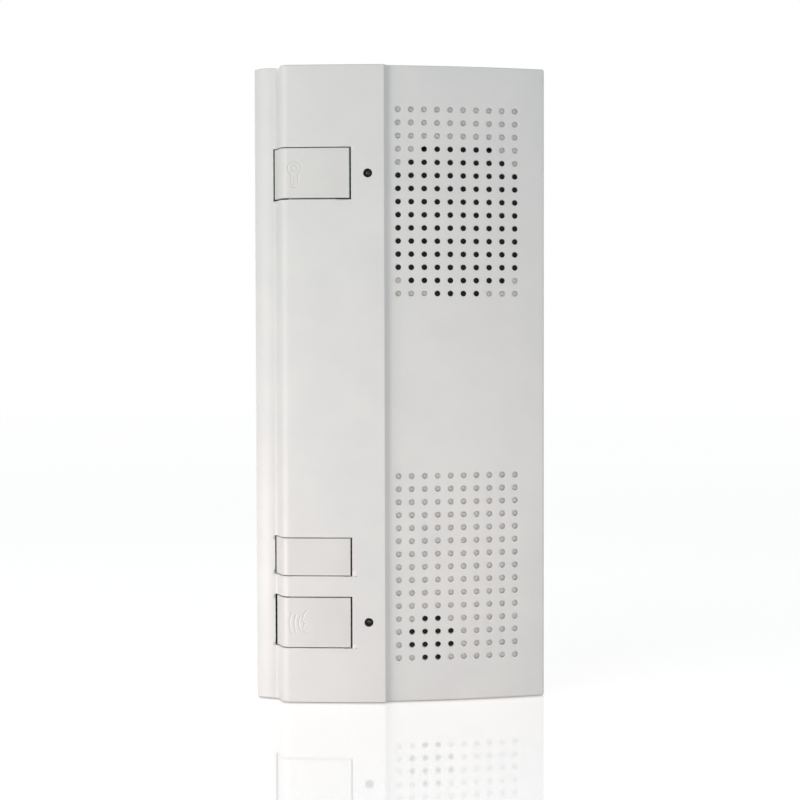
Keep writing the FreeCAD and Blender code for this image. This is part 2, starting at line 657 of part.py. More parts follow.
def switch(name, v):
    """A push switch on the board, and its plunger under the button's stem."""
    half = "switch_side / 2"
    top = "(board_front + switch_height)"
    well = "(board_front + plunger_well)"
    body = block(f"{name}_switch_case", (f"{BUTTON_U} - {half}", f"{BUTTON_U} + {half}"),
                 (f"{v} - {half}", f"{v} + {half}"), ("board_front", top))
    bore = rod(f"{name}_switch_bore", "plunger_radius + plunger_gap", BUTTON_U, v,
               (well, f"{top} + {FIT_IN}"))
    keep(cut(f"{name}_switch_body", body, [bore]), f"{name}_switch_body")
    plunger = rod(f"{name}_plunger", "plunger_radius", BUTTON_U, v,
                  ("board_front + plunger_foot", "plunger_top"))
    keep(plunger, f"{name}_switch_plunger")


def lamp(name, v):
    """A round light-emitting diode held up behind its hole by a black spacer."""
    tip = f"({crown_w(LAMP_U)} - lamp_recess)"
    seat = f"({tip} - lamp_length)"
    shoulder = f"({tip} - lamp_radius)"
    corners = [("0", seat), ("lamp_flange_radius", seat),
               ("lamp_flange_radius", f"({seat} + lamp_flange)"),
               ("lamp_radius", f"({seat} + lamp_flange)"), ("lamp_radius", shoulder),
               ("0", tip, "lamp_radius")]
    keep(turned(f"{name}_lamp", corners, LAMP_U, v), f"{name}_lamp")
    spacer = rod(f"{name}_spacer_stock", "lamp_spacer_radius", LAMP_U, v, ("board_front", seat))
    leads, ways = [], []
    for hand in (-1, 1):
        middle = f"({v} + {hand} * lead_pitch / 2)"
        leads.append(block(f"{name}_lead_{'low' if hand < 0 else 'high'}",
                           (f"{LAMP_U} - lead_side / 2", f"{LAMP_U} + lead_side / 2"),
                           (f"{middle} - lead_side / 2", f"{middle} + lead_side / 2"),
                           ("board_front", seat)))
        ways.append(block(f"{name}_way_{'low' if hand < 0 else 'high'}",
                          (f"{LAMP_U} - lead_side", f"{LAMP_U} + lead_side"),
                          (f"{middle} - lead_side", f"{middle} + lead_side"),
                          (f"board_front - {FIT_IN}", f"{seat} + {FIT_IN}")))
    return cut(f"{name}_spacer", spacer, ways), leads


# Loudspeaker, from its gasket back to its magnet


def dome_radius(radius, height):
    """The ball that a dome is cut from."""
    return f"(({radius}^2 + {height}^2) / (2 * {height}))"


def loudspeaker():
    u, v = SPEAKER_U, SPEAKER_V
    rim_front = "(board_front + speaker_rim)"
    rim_inner = "(speaker_radius - speaker_rim_width)"
    foot_front = f"({rim_front} - basket_depth)"
    foot_back = f"({foot_front} - basket_sheet)"
    coil_inner = "(pole_radius + coil_gap)"
    coil_outer = f"({coil_inner} + coil_wall)"
    hole = f"({coil_outer} + coil_gap)"
    magnet_front = f"({foot_back} - plate_thickness)"
    magnet_back = f"({magnet_front} - magnet_thickness)"
    yoke_back = f"({magnet_back} - plate_thickness)"
    cone_low = f"({foot_front} + cone_lift)"
    cone_high = f"({rim_front} - cone_drop)"
    seat_front = f"({rim_front} - basket_sheet)"

    gasket = tube("gasket_ring", "speaker_radius", f"{rim_inner} + gasket_lip", u, v,
                  (rim_front, RING_BACK))
    keep(gasket, "speaker_gasket")

    basket = turned("basket_shell", [
        ("speaker_radius", rim_front), (rim_inner, rim_front),
        (rim_inner, seat_front), ("basket_foot", foot_front),
        (hole, foot_front), (hole, foot_back), ("(basket_foot + basket_flare)", foot_back),
        (f"({rim_inner} + basket_shoulder)", "board_front"), ("speaker_radius", "board_front")],
        u, v)
    middle_u = (f"{u} - window_side / 2", f"{u} + window_side / 2")
    middle_v = (f"{v} - window_side / 2", f"{v} + window_side / 2")
    windows = [block(f"basket_window_{number}", across, up,
                     (f"{foot_front} + basket_shoulder", "board_front - window_lip"))
               for number, (across, up) in enumerate((
                   (middle_u, (f"{v} + window_near", f"{v} + window_far")),
                   (middle_u, (f"{v} - window_far", f"{v} - window_near")),
                   ((f"{u} + window_near", f"{u} + window_far"), middle_v)))]
    keep(cut("speaker_basket", basket, windows), "speaker_basket")

    keep(tube("top_plate_ring", "magnet_radius - plate_inset", hole, u, v, (magnet_front, foot_back)),
         "speaker_top_plate")
    keep(tube("magnet_ring", "magnet_radius", f"{hole} + magnet_gap", u, v, (magnet_back, magnet_front)),
         "speaker_magnet")
    yoke = turned("yoke", [
        ("0", yoke_back), ("(magnet_radius - yoke_inset)", yoke_back),
        ("(magnet_radius - yoke_inset)", magnet_back), ("pole_radius", magnet_back),
        ("pole_radius", foot_back), ("0", foot_back)], u, v)
    keep(yoke, "speaker_yoke")
    keep(tube("coil_ring", coil_outer, coil_inner, u, v,
              (f"{magnet_front} + coil_back_gap", cone_low)),
         "speaker_voice_coil")

    cone = turned("cone", [
        (coil_inner, cone_low), (coil_outer, cone_low), ("cone_radius", cone_high),
        ("cone_radius", f"({cone_high} + cone_sheet)"),
        (coil_inner, f"({cone_low} + cone_sheet)")], u, v)
    keep(cone, "speaker_cone")
    surround = turned("surround", [
        ("cone_radius", cone_high), (rim_inner, seat_front),
        (rim_inner, f"({seat_front} + cone_sheet)"),
        ("cone_radius", f"({cone_high} + cone_sheet)",
         f"({rim_inner} - cone_radius) * surround_roll")], u, v)
    keep(surround, "speaker_surround")
    slope = f"(({cone_high} - {cone_low}) / (cone_radius - {coil_outer}))"
    cap_seat = f"({cone_low} + cone_sheet + {slope} * (cap_radius - {coil_inner}) + cap_gap)"
    inner_radius, inner_height = "(cap_radius - cone_sheet)", "(cap_height - cap_sheet)"
    cap = turned("dust_cap", [
        ("0", f"({cap_seat} + {inner_height})"),
        (inner_radius, cap_seat, f"-{dome_radius(inner_radius, inner_height)}"),
        ("cap_radius", cap_seat),
        ("0", f"({cap_seat} + cap_height)", dome_radius("cap_radius", "cap_height"))], u, v)
    keep(cap, "speaker_dust_cap")

    clamps = [tube(f"clamp_{number}", "clamp_radius", "screw_radius + thread_gap", across, up,
                   ("board_front - clamp_thickness", "board_front"))
              for number, (across, up) in enumerate(SPEAKER_BOSSES)]
    keep(group("speaker_clamps", clamps), "speaker_clamps")
    screws("speaker_screws", SPEAKER_BOSSES, "(board_front - clamp_thickness)",
           "clamp_thickness + screw_grip - screw_tip_gap")


# Microphone


def microphone():
    face = "(boot_front - boot_lip)"
    back = f"({face} - mic_length)"
    keep(rod("capsule", "mic_radius", MIC_U, MIC_V, (back, face)), "microphone_capsule")
    outer = "(mic_ring_radius - boot_gap)"
    boot = turned("boot", [
        ("boot_way", "board_front"), (outer, "board_front"), (outer, "boot_front"),
        ("(mic_radius - boot_lip)", "boot_front"), ("(mic_radius - boot_lip)", face),
        ("mic_radius", face), ("mic_radius", back), ("boot_way", back)], MIC_U, MIC_V)
    keep(boot, "microphone_boot")
    half = "mic_pin_side / 2"
    pins = []
    for hand in (-1, 1):
        middle = f"{MIC_U} + {hand} * mic_pin_pitch / 2"
        pins.append(block(f"mic_pin_{'left' if hand < 0 else 'right'}",
                          (f"{middle} - {half}", f"{middle} + {half}"),
                          (f"{MIC_V} - {half}", f"{MIC_V} + {half}"), ("board_front", back)))
    keep(group("microphone_pins", pins), "microphone_pins")


# Cloths behind the open holes


def cloths():
    """Black cloth bent to the inside of the cover, in each ring."""
    left, right = f"({GRILLE_LEFT} - cloth_reach)", f"({HALF_WIDTH} - cover_wall - cloth_gap)"
    back = "(cover_wall + cloth_thickness)"
    section = [
        (left, panel_w(left, "cover_wall")),
        (right, panel_w(right, "cover_wall"), "(cover_wall - panel_radius)"),
        (right, panel_w(right, back)),
        (left, panel_w(left, back), f"(panel_radius - {back})"),
    ]
    rings = (("grille_cloth", OPEN_RADIUS, SPEAKER_U, SPEAKER_V),
             ("microphone_cloth", "mic_ring_radius", MIC_U, MIC_V))
    for name, radius, u, v in rings:
        body = new_body(name + "_sheet")
        sketch = new_sketch(body, name + "_section", "XZ_Plane", f"-({v} + {radius})")
        loop(sketch, section)
        pad(body, sketch, f"2 * {radius}")
        disc = rod(name + "_disc", f"{radius} - cloth_gap", u, v, ("board_front", "body_depth"))
        keep(common(name, body, disc), name)


# Small parts on the back of the main board

# Their places are taken from the middle of the column behind the buttons, the shelf below the
# loudspeaker, and the board's outer edges
LEFT_U = f"(part_inset - {HALF_WIDTH})"
RELAY_PLACE = (LEFT_U, f"({SHELF_V} - 11)")
TRANSFORMER_PLACE = (f"({SPEAKER_U} + 1.25)", f"({SHELF_V} - 15.5)")
SUPPLY_PLACE = (LEFT_U, f"({SHELF_V} - 30)")
CAN_PLACES = [
    (f"({LEFT_U} + 12)", f"({SHELF_V} - 28)"),
    (f"({LEFT_U} + 20)", f"({SHELF_V} - 28)"),
    (f"({LEFT_U} + 10)", f"({SHELF_V} + 44)"),
    (f"({SPEAKER_U} + 15.25)", f"({SHELF_V} - 22)"),
]
BARREL_PLACES = [
    (f"({LEFT_U} - 6)", f"({BOARD_TOP} - 14)"),
    (f"({LEFT_U} - 6)", f"({BOARD_TOP} - 18)"),
    (f"({LEFT_U} + 6)", f"({BOARD_TOP} - 14)"),
    (f"({LEFT_U} + 6)", f"({BOARD_TOP} - 18)"),
    (f"({LEFT_U} - 6)", f"({SHELF_V} - 49)"),
    (f"({LEFT_U} - 6)", f"({SHELF_V} - 53)"),
    (f"({BOARD_SIDE} - 6)", f"({SHELF_V} - 52)"),
    (f"({BOARD_SIDE} - 6)", f"({SHELF_V} - 56)"),
]
BEAD_PLACES = [(f"({BOARD_SIDE} - {across})", f"({SHELF_V} - {down})")
               for across in (4, 9) for down in (72, 80)]
CHIPS = {
    "amplifier_chip": (f"({LEFT_U} + 4)", f"({SHELF_V} + 8)", 4),
    "control_chip": (f"({LEFT_U} + 8)", f"({BOARD_LOW} + 18)", 9),
}
TRIMMERS = {
    "speaker": (f"({BOARD_SIDE} - 20.5)", f"({SHELF_V} - 38)"),
    "microphone": (f"({BOARD_SIDE} - 18.5)", f"({BOARD_LOW} + 18)"),
}


def on_board(name, width, length, height, u, v):
    """A box that stands on the back of the board, about a centre."""
    return block(name, (f"{u} - {width} / 2", f"{u} + {width} / 2"),
                 (f"{v} - {length} / 2", f"{v} + {length} / 2"),
                 (f"{BOARD_BACK} - {height}", BOARD_BACK))


def power_parts():
    """Relay, line transformer and capacitors."""
    keep(on_board("relay_case", "relay_width", "relay_length", "relay_height", *RELAY_PLACE), "relay")
    core = on_board("transformer_core", "core_width", "core_length", "core_height",
                    *TRANSFORMER_PLACE)
    bobbin = on_board("transformer_bobbin", "bobbin_width", "bobbin_length", "bobbin_height",
                      *TRANSFORMER_PLACE)
    keep(fuse("transformer", [core, bobbin]), "line_transformer")
    keep(rod("big_can", "can_radius", *SUPPLY_PLACE, (f"{BOARD_BACK} - can_height", BOARD_BACK)),
         "supply_capacitor")
    cans = [rod(f"small_can_{number}", "small_can_radius", u, v,
                (f"{BOARD_BACK} - small_can_height", BOARD_BACK))
            for number, (u, v) in enumerate(CAN_PLACES)]
    keep(group("coupling_capacitors", cans), "coupling_capacitors")


def fine_parts():
    """Resistors and diodes, lying just clear of the board on their bent legs."""
    barrels = [cross_rod(f"resistor_{number}", "barrel_radius",
                         (f"{u} - barrel_length / 2", f"{u} + barrel_length / 2"), v,
                         f"{BOARD_BACK} - barrel_radius - solder_gap")
               for number, (u, v) in enumerate(BARREL_PLACES)]
    keep(group("resistors", barrels), "resistors")
    beads = [upright_rod(f"diode_{number}", "bead_radius", u,
                         (f"{v} - bead_length / 2", f"{v} + bead_length / 2"),
                         f"{BOARD_BACK} - bead_radius - solder_gap")
             for number, (u, v) in enumerate(BEAD_PLACES)]
    keep(group("diodes", beads), "diodes")


def chip(name, u, v, legs):
    """A chip in two rows of legs, on the back of the board."""
    half = f"({legs} * pin_pitch / 2 + chip_end)"
    case = block(f"{name}_case", (f"{u} - {half}", f"{u} + {half}"),
                 (f"{v} - chip_width / 2", f"{v} + chip_width / 2"),
                 (f"{BOARD_BACK} - chip_lift - chip_height", f"{BOARD_BACK} - chip_lift"))
    keep(case, name)
    pins = []
    for number in range(legs):
        middle = f"({u} + {number - (legs - 1) / 2} * pin_pitch)"
        for hand in (-1, 1):
            near = f"({v} + {hand} * chip_width / 2)"
            far = f"({near} + {hand} * leg_side)"
            pins.append(block(f"{name}_leg_{number}_{'low' if hand < 0 else 'high'}",
                              (f"{middle} - leg_side / 2", f"{middle} + leg_side / 2"),
                              (near, far) if hand > 0 else (far, near),
                              (f"{BOARD_BACK} - leg_height", BOARD_BACK)))
    return pins


def trimmer(name, u, v):
    """A volume trimmer: a flat case and the slotted rotor in it."""
    half = "trimmer_side / 2"
    back = f"({BOARD_BACK} - trimmer_height)"
    case = block(f"{name}_trimmer_case", (f"{u} - {half}", f"{u} + {half}"),
                 (f"{v} - {half}", f"{v} + {half}"), (back, BOARD_BACK))
    well = rod(f"{name}_trimmer_well", "rotor_radius + rotor_gap", u, v,
               (f"{back} - {FIT_IN}", f"{back} + rotor_depth + rotor_gap"))
    keep(cut(f"{name}_trimmer_body", case, [well]), f"{name}_trimmer_body")
    disc = rod(f"{name}_rotor_disc", "rotor_radius", u, v,
               (f"{back} - rotor_proud", f"{back} + rotor_depth"))
    slot = block(f"{name}_rotor_slot",
                 (f"{u} - rotor_slot_length / 2", f"{u} + rotor_slot_length / 2"),
                 (f"{v} - rotor_slot / 2", f"{v} + rotor_slot / 2"),
                 (f"{back} - rotor_proud - {FIT_IN}", back))
    keep(cut(f"{name}_trimmer_rotor", disc, [slot]), f"{name}_trimmer_rotor")


# Loudspeaker leads

PLUG_U = f"({LEFT_U} + 2)"
PLUG_W = f"({BOARD_BACK} - plug_out)"
STRIP_FRONT = "(board_front - tag_strip_front)"
STRIP_BACK = f"({STRIP_FRONT} - tag_strip)"
TAG_U = f"({SPEAKER_U} - speaker_radius + tag_inset)"
TAG_W = f"({STRIP_BACK} - tag_strip)"


RUN_SHARE = 0.45        # how much of a straight run each arc may take


def tangent_path(points):
    """Straight runs joined by arcs, each as large as its two runs allow."""
    edges, start, radii = [], points[0], []
    for before, corner, after in zip(points, points[1:], points[2:]):
        to_corner, to_next = corner - before, after - corner
        turn = to_corner.getAngle(to_next)
        trim = RUN_SHARE * min(to_corner.Length, to_next.Length)
        inward, onward = Vector(to_corner).normalize(), Vector(to_next).normalize()
        first, last = corner - inward * trim, corner + onward * trim
        bisector = (onward - inward).normalize()
        radius = trim / math.tan(turn / 2)
        centre = corner + bisector * (radius / math.cos(turn / 2))
        middle = centre + (corner - centre).normalize() * radius
        edges += [Part.LineSegment(start, first).toShape(), Part.Arc(first, middle, last).toShape()]
        radii.append(round(radius, 1))
        start = last
    edges.append(Part.LineSegment(start, points[-1]).toShape())
    return Part.Wire(edges), radii


def lead(name, hand):
    """One loudspeaker lead, from its tag to the plug, bent clear of the wall plate."""
    tag = Vector(value(TAG_U), -value(TAG_W), value(f"{SPEAKER_V} + {hand} * tag_pitch / 2"))
    pin = Vector(value(PLUG_U), -value(PLUG_W), value(f"{SPEAKER_V} + {hand} * plug_pitch / 2"))
    down = tag + Vector(0, value("lead_drop"), 0)
    up = pin + Vector(0, value("plug_rise"), 0)
    middle = (down + up) * 0.5 + Vector(0, value("lead_sag"), 0)
    path, radii = tangent_path([tag, down, middle, up, pin])
    radius = value("wire_radius")
    circle = Part.Wire(Part.Circle(tag, Vector(0, 1, 0), radius).toShape())
    item = doc.addObject("Part::Feature", name)
    item.Shape = path.makePipeShell([circle], True, True)
    share = item.Shape.Volume / (math.pi * radius ** 2 * path.Length)
    print(f"{name}: length {path.Length:.1f}, radii {radii}, volume share {share:.4f}")
    return keep(item, name)


def speaker_connections():
    """The tag strip on the basket, two leads, and the plug in its header."""
    keep(block("strip", (f"{TAG_U} - tag_side", f"{SPEAKER_U} - basket_foot - strip_gap"),
               (f"{SPEAKER_V} - tag_strip_height / 2", f"{SPEAKER_V} + tag_strip_height / 2"),
               (STRIP_BACK, STRIP_FRONT)), "speaker_tag_strip")
    tags = []
    for hand in (-1, 1):
        v = f"({SPEAKER_V} + {hand} * tag_pitch / 2)"
        tags.append(block(f"tag_{'low' if hand < 0 else 'high'}",
                          (f"{TAG_U} - tag_side / 2", f"{TAG_U} + tag_side / 2"),
                          (f"{v} - tag_side / 2", f"{v} + tag_side / 2"), (TAG_W, STRIP_BACK)))
    keep(group("speaker_tags", tags), "speaker_tags")
    lead("speaker_lead_red", 1)
    lead("speaker_lead_black", -1)
    inner = ("(plug_width + 2 * plug_gap)", "(plug_height + 2 * plug_gap)")
    outer = [f"({side} + 2 * header_wall)" for side in inner]
    shroud = on_board("header_shroud", *outer, "header_height", PLUG_U, SPEAKER_V)
    mouth = block("header_mouth", (f"{PLUG_U} - {inner[0]} / 2", f"{PLUG_U} + {inner[0]} / 2"),
                  (f"{SPEAKER_V} - {inner[1]} / 2", f"{SPEAKER_V} + {inner[1]} / 2"),
                  (f"{BOARD_BACK} - header_height - {FIT_IN}", f"{BOARD_BACK} - header_floor"))
    keep(cut("speaker_header", shroud, [mouth]), "speaker_header")
    keep(block("plug", (f"{PLUG_U} - plug_width / 2", f"{PLUG_U} + plug_width / 2"),
               (f"{SPEAKER_V} - plug_height / 2", f"{SPEAKER_V} + plug_height / 2"),
               (PLUG_W, f"{BOARD_BACK} - header_floor - plug_foot_gap")), "speaker_plug")


# Wall plate

BASE_SIDE = f"({HALF_WIDTH} - cover_wall - plate_gap)"
BASE_LOW = f"(cover_wall + plate_gap - {HALF_HEIGHT})"
BASE_HIGH = f"({HALF_HEIGHT} - cover_wall - base_top_gap)"


def hook(name, side):
    """A hook that carries one peg of the cover: its seat is open at the top."""
    body = doc.addObject("PartDesign::Body", name)
    body.Placement = Placement(Vector(), UPRIGHT)
    sketch = new_sketch(body, name + "_section", "YZ_Plane",
                        f"({side} * hinge_side - hook_width / 2)")
    seat = "(peg_radius + peg_gap)"
    out = f"({seat} + hook_wall)"
    loop(sketch, [
        (f"({HINGE_V} - hook_foot)", "(base_sheet / 2)"),
        (f"({HINGE_V} - hook_foot)", "base_sheet"),
        (f"({HINGE_V} - {out})", f"(hinge_out + {out})"),
        (f"({HINGE_V} + hook_lip)", f"(hinge_out + {out})"),
        (f"({HINGE_V} + hook_lip)", f"(hinge_out + {seat})"),
        (HINGE_V, f"(hinge_out + {seat})"),
        (f"({HINGE_V} - {seat})", "hinge_out", seat),
        (HINGE_V, f"(hinge_out - {seat})", seat),
        (HINGE_V, "(base_sheet + hook_lip)"),
        (BASE_HIGH, "(base_sheet + hook_lip)"),
        (BASE_HIGH, "(base_sheet / 2)"),
    ])
    pad(body, sketch, "hook_width")
    return body


TERMINAL_POSTS = [(f"({across} * (terminal_board_width / 2 - post_inset))",
                   f"({TERMINAL_V} + {up} * (terminal_board_height / 2 - post_inset))")
                  for across in (-1, 1) for up in (-1, 1)]


def base():
    """The wall plate: window for the cables, screw slots, low rim, posts and hooks."""
    body = new_body("base_sheet_body")
    sketch = new_sketch(body, "base_outline", "XY_Plane", "0")
    loop(sketch, rectangle((f"-{BASE_SIDE}", BASE_SIDE), (BASE_LOW, BASE_HIGH)))
    for across in (-1, 1):
        for up in (-1, 1):
            ring(sketch, "wall_hole_radius", f"({across} * wall_screw_across / 2)",
                 f"({up} * wall_screw_down / 2)")
    pad(body, sketch, "base_sheet")
    cuts = new_sketch(body, "base_openings", "XY_Plane", "0")
    loop(cuts, rectangle(("-window_width / 2", "window_width / 2"),
                         ("window_rise - window_height / 2", "window_rise + window_height / 2")))
    flat = "(slot_length / 2 - slot_radius)"
    low, high = "(window_rise - slot_radius)", "(window_rise + slot_radius)"
    for side in (-1, 1):
        middle = f"({side} * box_screw_pitch / 2)"
        left, right = f"({middle} - {flat})", f"({middle} + {flat})"
        loop(cuts, [(left, low, "slot_radius"), (right, low),
                    (f"({right} + slot_radius)", "window_rise", "slot_radius"),
                    (right, high, "slot_radius"), (left, high),
                    (f"({left} - slot_radius)", "window_rise", "slot_radius")])
    pocket(body, cuts, "base_sheet", backwards=True)

    top = "(base_sheet + base_rim_height)"
    foot = "(base_sheet / 2)"
    rim_end = f"({BASE_HIGH} - base_rim_end)"
    pieces = [body, hook("left_hook", -1), hook("right_hook", 1)]
    pieces.append(block("left_rim", (f"-{BASE_SIDE}", f"-{BASE_SIDE} + base_rim"),
                        (BASE_LOW, rim_end), (foot, top)))
    pieces.append(block("right_rim", (f"{BASE_SIDE} - base_rim", BASE_SIDE),
                        (BASE_LOW, rim_end), (foot, top)))
    pieces.append(block("low_rim", (f"-{BASE_SIDE}", BASE_SIDE),
                        (BASE_LOW, f"{BASE_LOW} + base_rim"), (foot, top)))
    pieces.append(block("tongue", ("-tongue_width / 2", "tongue_width / 2"),
                        (BASE_LOW, f"{BASE_LOW} + base_rim"), (foot, f"{top} + tongue_proud")))
    wells = []
    for number, (u, v) in enumerate(TERMINAL_POSTS):
        pieces.append(rod(f"post_{number}", "post_radius", u, v, (foot, TERMINAL_W)))
        wells.append(rod(f"post_well_{number}", "screw_radius + thread_gap", u, v,
                         (foot, f"{TERMINAL_W} + {FIT_IN}")))
    return keep(cut("base", fuse("base_stock", pieces), wells), "base")


# Terminals on the wall plate, and the pins that plug into the main board


def terminals():
    width, height = "terminal_board_width / 2", "terminal_board_height / 2"
    holes = [(u, v, "screw_radius + board_hole_gap") for u, v in TERMINAL_POSTS]
    corners = rectangle((f"-{width}", width), (f"{TERMINAL_V} - {height}", f"{TERMINAL_V} + {height}"))
    keep(plate("terminal_board", corners, (TERMINAL_W, TERMINAL_FRONT), holes), "terminal_board")
    screws("terminal_board_screws", TERMINAL_POSTS, TERMINAL_FRONT, "post_screw", from_front=True)

    middle = f"({TERMINAL_V} + block_rise)"
    half = "(terminal_count * terminal_pitch / 2)"
    case = block("terminal_case", (f"-{half}", half),
                 (f"{middle} - block_depth / 2", f"{middle} + block_depth / 2"),
                 (TERMINAL_FRONT, f"{TERMINAL_FRONT} + block_height"))
    top = f"{TERMINAL_FRONT} + block_height"
    room_foot = f"({TERMINAL_FRONT} + room_foot)"
    cage_top = f"({room_foot} + cage_height)"
    way_foot = f"({TERMINAL_FRONT} + way_foot)"
    head_top = f"({cage_top} + head_length)"
    rooms, clamps, heads = [], [], []
    for pole in range(int(value("terminal_count"))):
        u = f"({pole - (value('terminal_count') - 1) / 2} * terminal_pitch)"
        rooms.append(block(f"terminal_room_{pole}", (f"{u} - room_width / 2", f"{u} + room_width / 2"),
                           (f"{middle} - room_drop", f"{middle} + block_depth / 2 + {FIT_IN}"),
                           (room_foot, f"{room_foot} + room_height")))
        rooms.append(rod(f"terminal_well_{pole}", "well_radius", u, middle,
                         (cage_top, f"{top} + {FIT_IN}")))
        cage = block(f"terminal_cage_{pole}", (f"{u} - cage_width / 2", f"{u} + cage_width / 2"),
                     (f"{middle} - cage_drop", f"{middle} + cage_rise"), (room_foot, cage_top))
        way = block(f"terminal_way_{pole}", (f"{u} - way_width / 2", f"{u} + way_width / 2"),
                    (f"{middle} - block_depth / 2", f"{middle} + block_depth / 2"),
                    (way_foot, f"{way_foot} + way_height"))
        clamps.append(cut(f"terminal_clamp_{pole}", cage, [way]))
        screw = rod(f"terminal_screw_stock_{pole}", "head_bar", u, middle, (cage_top, head_top))
        slot = block(f"terminal_slot_{pole}", (f"{u} - well_radius", f"{u} + well_radius"),
                     (f"{middle} - head_slot / 2", f"{middle} + head_slot / 2"),
                     (f"{head_top} - head_length / 3", f"{head_top} + {FIT_IN}"))
        heads.append(cut(f"terminal_screw_{pole}", screw, [slot]))
    cases = cut("terminal_block_lower", case, rooms[0::2])
    keep(cut("terminal_block", cases, rooms[1::2]), "terminal_block")
    keep(group("terminal_clamps", clamps), "terminal_clamps")
    keep(group("terminal_screws", heads), "terminal_screws")


def link():
    """A row of pins on the terminal board, and the socket for them behind the main board."""
    middle = f"({TERMINAL_V} - link_drop)"
    half = "(terminal_count * pin_pitch / 2)"
    strip_top = f"({TERMINAL_FRONT} + pin_strip)"
    keep(block("link_strip", (f"-{half}", half),
               (f"{middle} - pin_pitch / 2", f"{middle} + pin_pitch / 2"),
               (TERMINAL_FRONT, strip_top)), "link_pin_strip")
    face = f"({BOARD_BACK} - socket_depth)"
    case = block("socket_case", (f"-{half} - socket_end", f"{half} + socket_end"),
                 (f"{middle} - socket_height / 2", f"{middle} + socket_height / 2"),
                 (face, BOARD_BACK))
    pins, slots = [], []
    for pole in range(int(value("terminal_count"))):
        u = f"({pole - (value('terminal_count') - 1) / 2} * pin_pitch)"
        pins.append(block(f"link_pin_{pole}", (f"{u} - pin_side / 2", f"{u} + pin_side / 2"),
                          (f"{middle} - pin_side / 2", f"{middle} + pin_side / 2"),
                          (strip_top, "pin_tip")))
        slots.append(block(f"socket_slot_{pole}",
                           (f"{u} - socket_slot_width / 2", f"{u} + socket_slot_width / 2"),
                           (f"{middle} - socket_slot / 2", f"{middle} + socket_slot / 2"),
                           (f"{face} - {FIT_IN}", f"pin_tip + {FIT_IN}")))
    keep(group("link_pins", pins), "link_pins")
    keep(cut("link_socket", case, slots), "link_socket")


# Assembly

base()
front_cover()
for button_name, (button_v, button_height) in BUTTONS.items():
    button(button_name, button_v, button_height)
    switch(button_name, button_v)
main_board()
screws("board_screws", BOARD_BOSSES, BOARD_BACK,
       "board_thickness + screw_grip - screw_tip_gap")
lamp_spacers, lamp_leads = [], []
for lamp_name, lamp_v in LAMPS.items():
    spacer, leads = lamp(lamp_name, lamp_v)
    lamp_spacers.append(spacer)
    lamp_leads += leads
keep(group("lamp_spacers", lamp_spacers), "lamp_spacers")
keep(group("lamp_leads", lamp_leads), "lamp_leads")
loudspeaker()
speaker_connections()
microphone()
cloths()
power_parts()
fine_parts()
chip_legs = []
for chip_name, chip_place in CHIPS.items():
    chip_legs += chip(chip_name, *chip_place)
keep(group("chip_legs", chip_legs), "chip_legs")
for trimmer_name, trimmer_place in TRIMMERS.items():
    trimmer(trimmer_name, *trimmer_place)
terminals()
link()
doc.recompute()

# Nothing is written unless every object recomputed and every sub-part is sound
failed = [item.Name for item in doc.Objects if {"Invalid", "Error"} & set(item.State)]
failed += [item.Label for item in kept if item.Shape.isNull() or not item.Shape.isValid()
           or not item.Shape.Solids]
if failed:
    raise RuntimeError("failed: " + ", ".join(failed))

os.makedirs("parts", exist_ok=True)
for item in kept:
    item.Shape.exportStep(os.path.join("parts", item.Label + ".step"))
    box = item.Shape.BoundBox
    print(f"{item.Label}: solids {len(item.Shape.Solids)}, volume {item.Shape.Volume:.1f}, "
          f"x {box.XMin:.2f} to {box.XMax:.2f}, y {box.YMin:.2f} to {box.YMax:.2f}, "
          f"z {box.ZMin:.2f} to {box.ZMax:.2f}")
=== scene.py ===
# %% [markdown]
# An indoor intercom unit, built in Blender round its engineering model.
#
# The real unit is a slim white box that hangs on the wall. Its housing is one moulding: a flat
# strip on the left, a rounded bank up to a raised panel with three buttons, a small step down,
# and a long gentle curve with two fields of holes, for the loudspeaker and for the microphone.
# The engineering model comes in first as a fixed frame. Everything made here is set against it,
# so that each piece sits where the real one is held.

# %% Load the frame
import math
import json
import bmesh
import bpy
import numpy as np
from mathutils import Matrix, Vector


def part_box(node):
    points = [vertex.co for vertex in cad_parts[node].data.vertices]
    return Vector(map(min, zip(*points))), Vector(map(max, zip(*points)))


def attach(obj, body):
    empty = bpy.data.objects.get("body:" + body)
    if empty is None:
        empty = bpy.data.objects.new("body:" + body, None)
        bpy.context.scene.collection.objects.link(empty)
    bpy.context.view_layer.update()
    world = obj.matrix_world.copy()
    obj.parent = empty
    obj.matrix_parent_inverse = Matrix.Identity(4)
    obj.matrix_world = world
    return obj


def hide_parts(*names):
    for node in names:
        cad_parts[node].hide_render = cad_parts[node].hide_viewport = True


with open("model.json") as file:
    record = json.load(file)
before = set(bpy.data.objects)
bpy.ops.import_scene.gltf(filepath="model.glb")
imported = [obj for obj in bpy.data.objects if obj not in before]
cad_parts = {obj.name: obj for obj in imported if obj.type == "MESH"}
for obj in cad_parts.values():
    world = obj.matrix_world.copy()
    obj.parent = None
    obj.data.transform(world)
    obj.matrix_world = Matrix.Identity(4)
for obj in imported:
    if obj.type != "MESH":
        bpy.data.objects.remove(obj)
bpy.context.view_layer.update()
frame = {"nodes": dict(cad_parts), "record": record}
nodes = frame["nodes"]
MM = 0.001

# %% [markdown]
# Places are easiest to think of as the installer sees them: across to the right, up, and out
# from the wall. In the frame the front faces minus Y, so "out" is turned to minus Y in one
# place only, by the small function below. All sizes are written in millimetres.

# %% Places, as seen from the front
def at(across, out, up):
    """The point in the frame, in metres, for a place in millimetres."""
    return Vector((across, -out, up)) * MM


def middle_of(node):
    """Across and up, in millimetres, of the middle of a CAD node."""
    low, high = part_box(node)
    middle = (low + high) / (2 * MM)
    return middle.x, middle.z


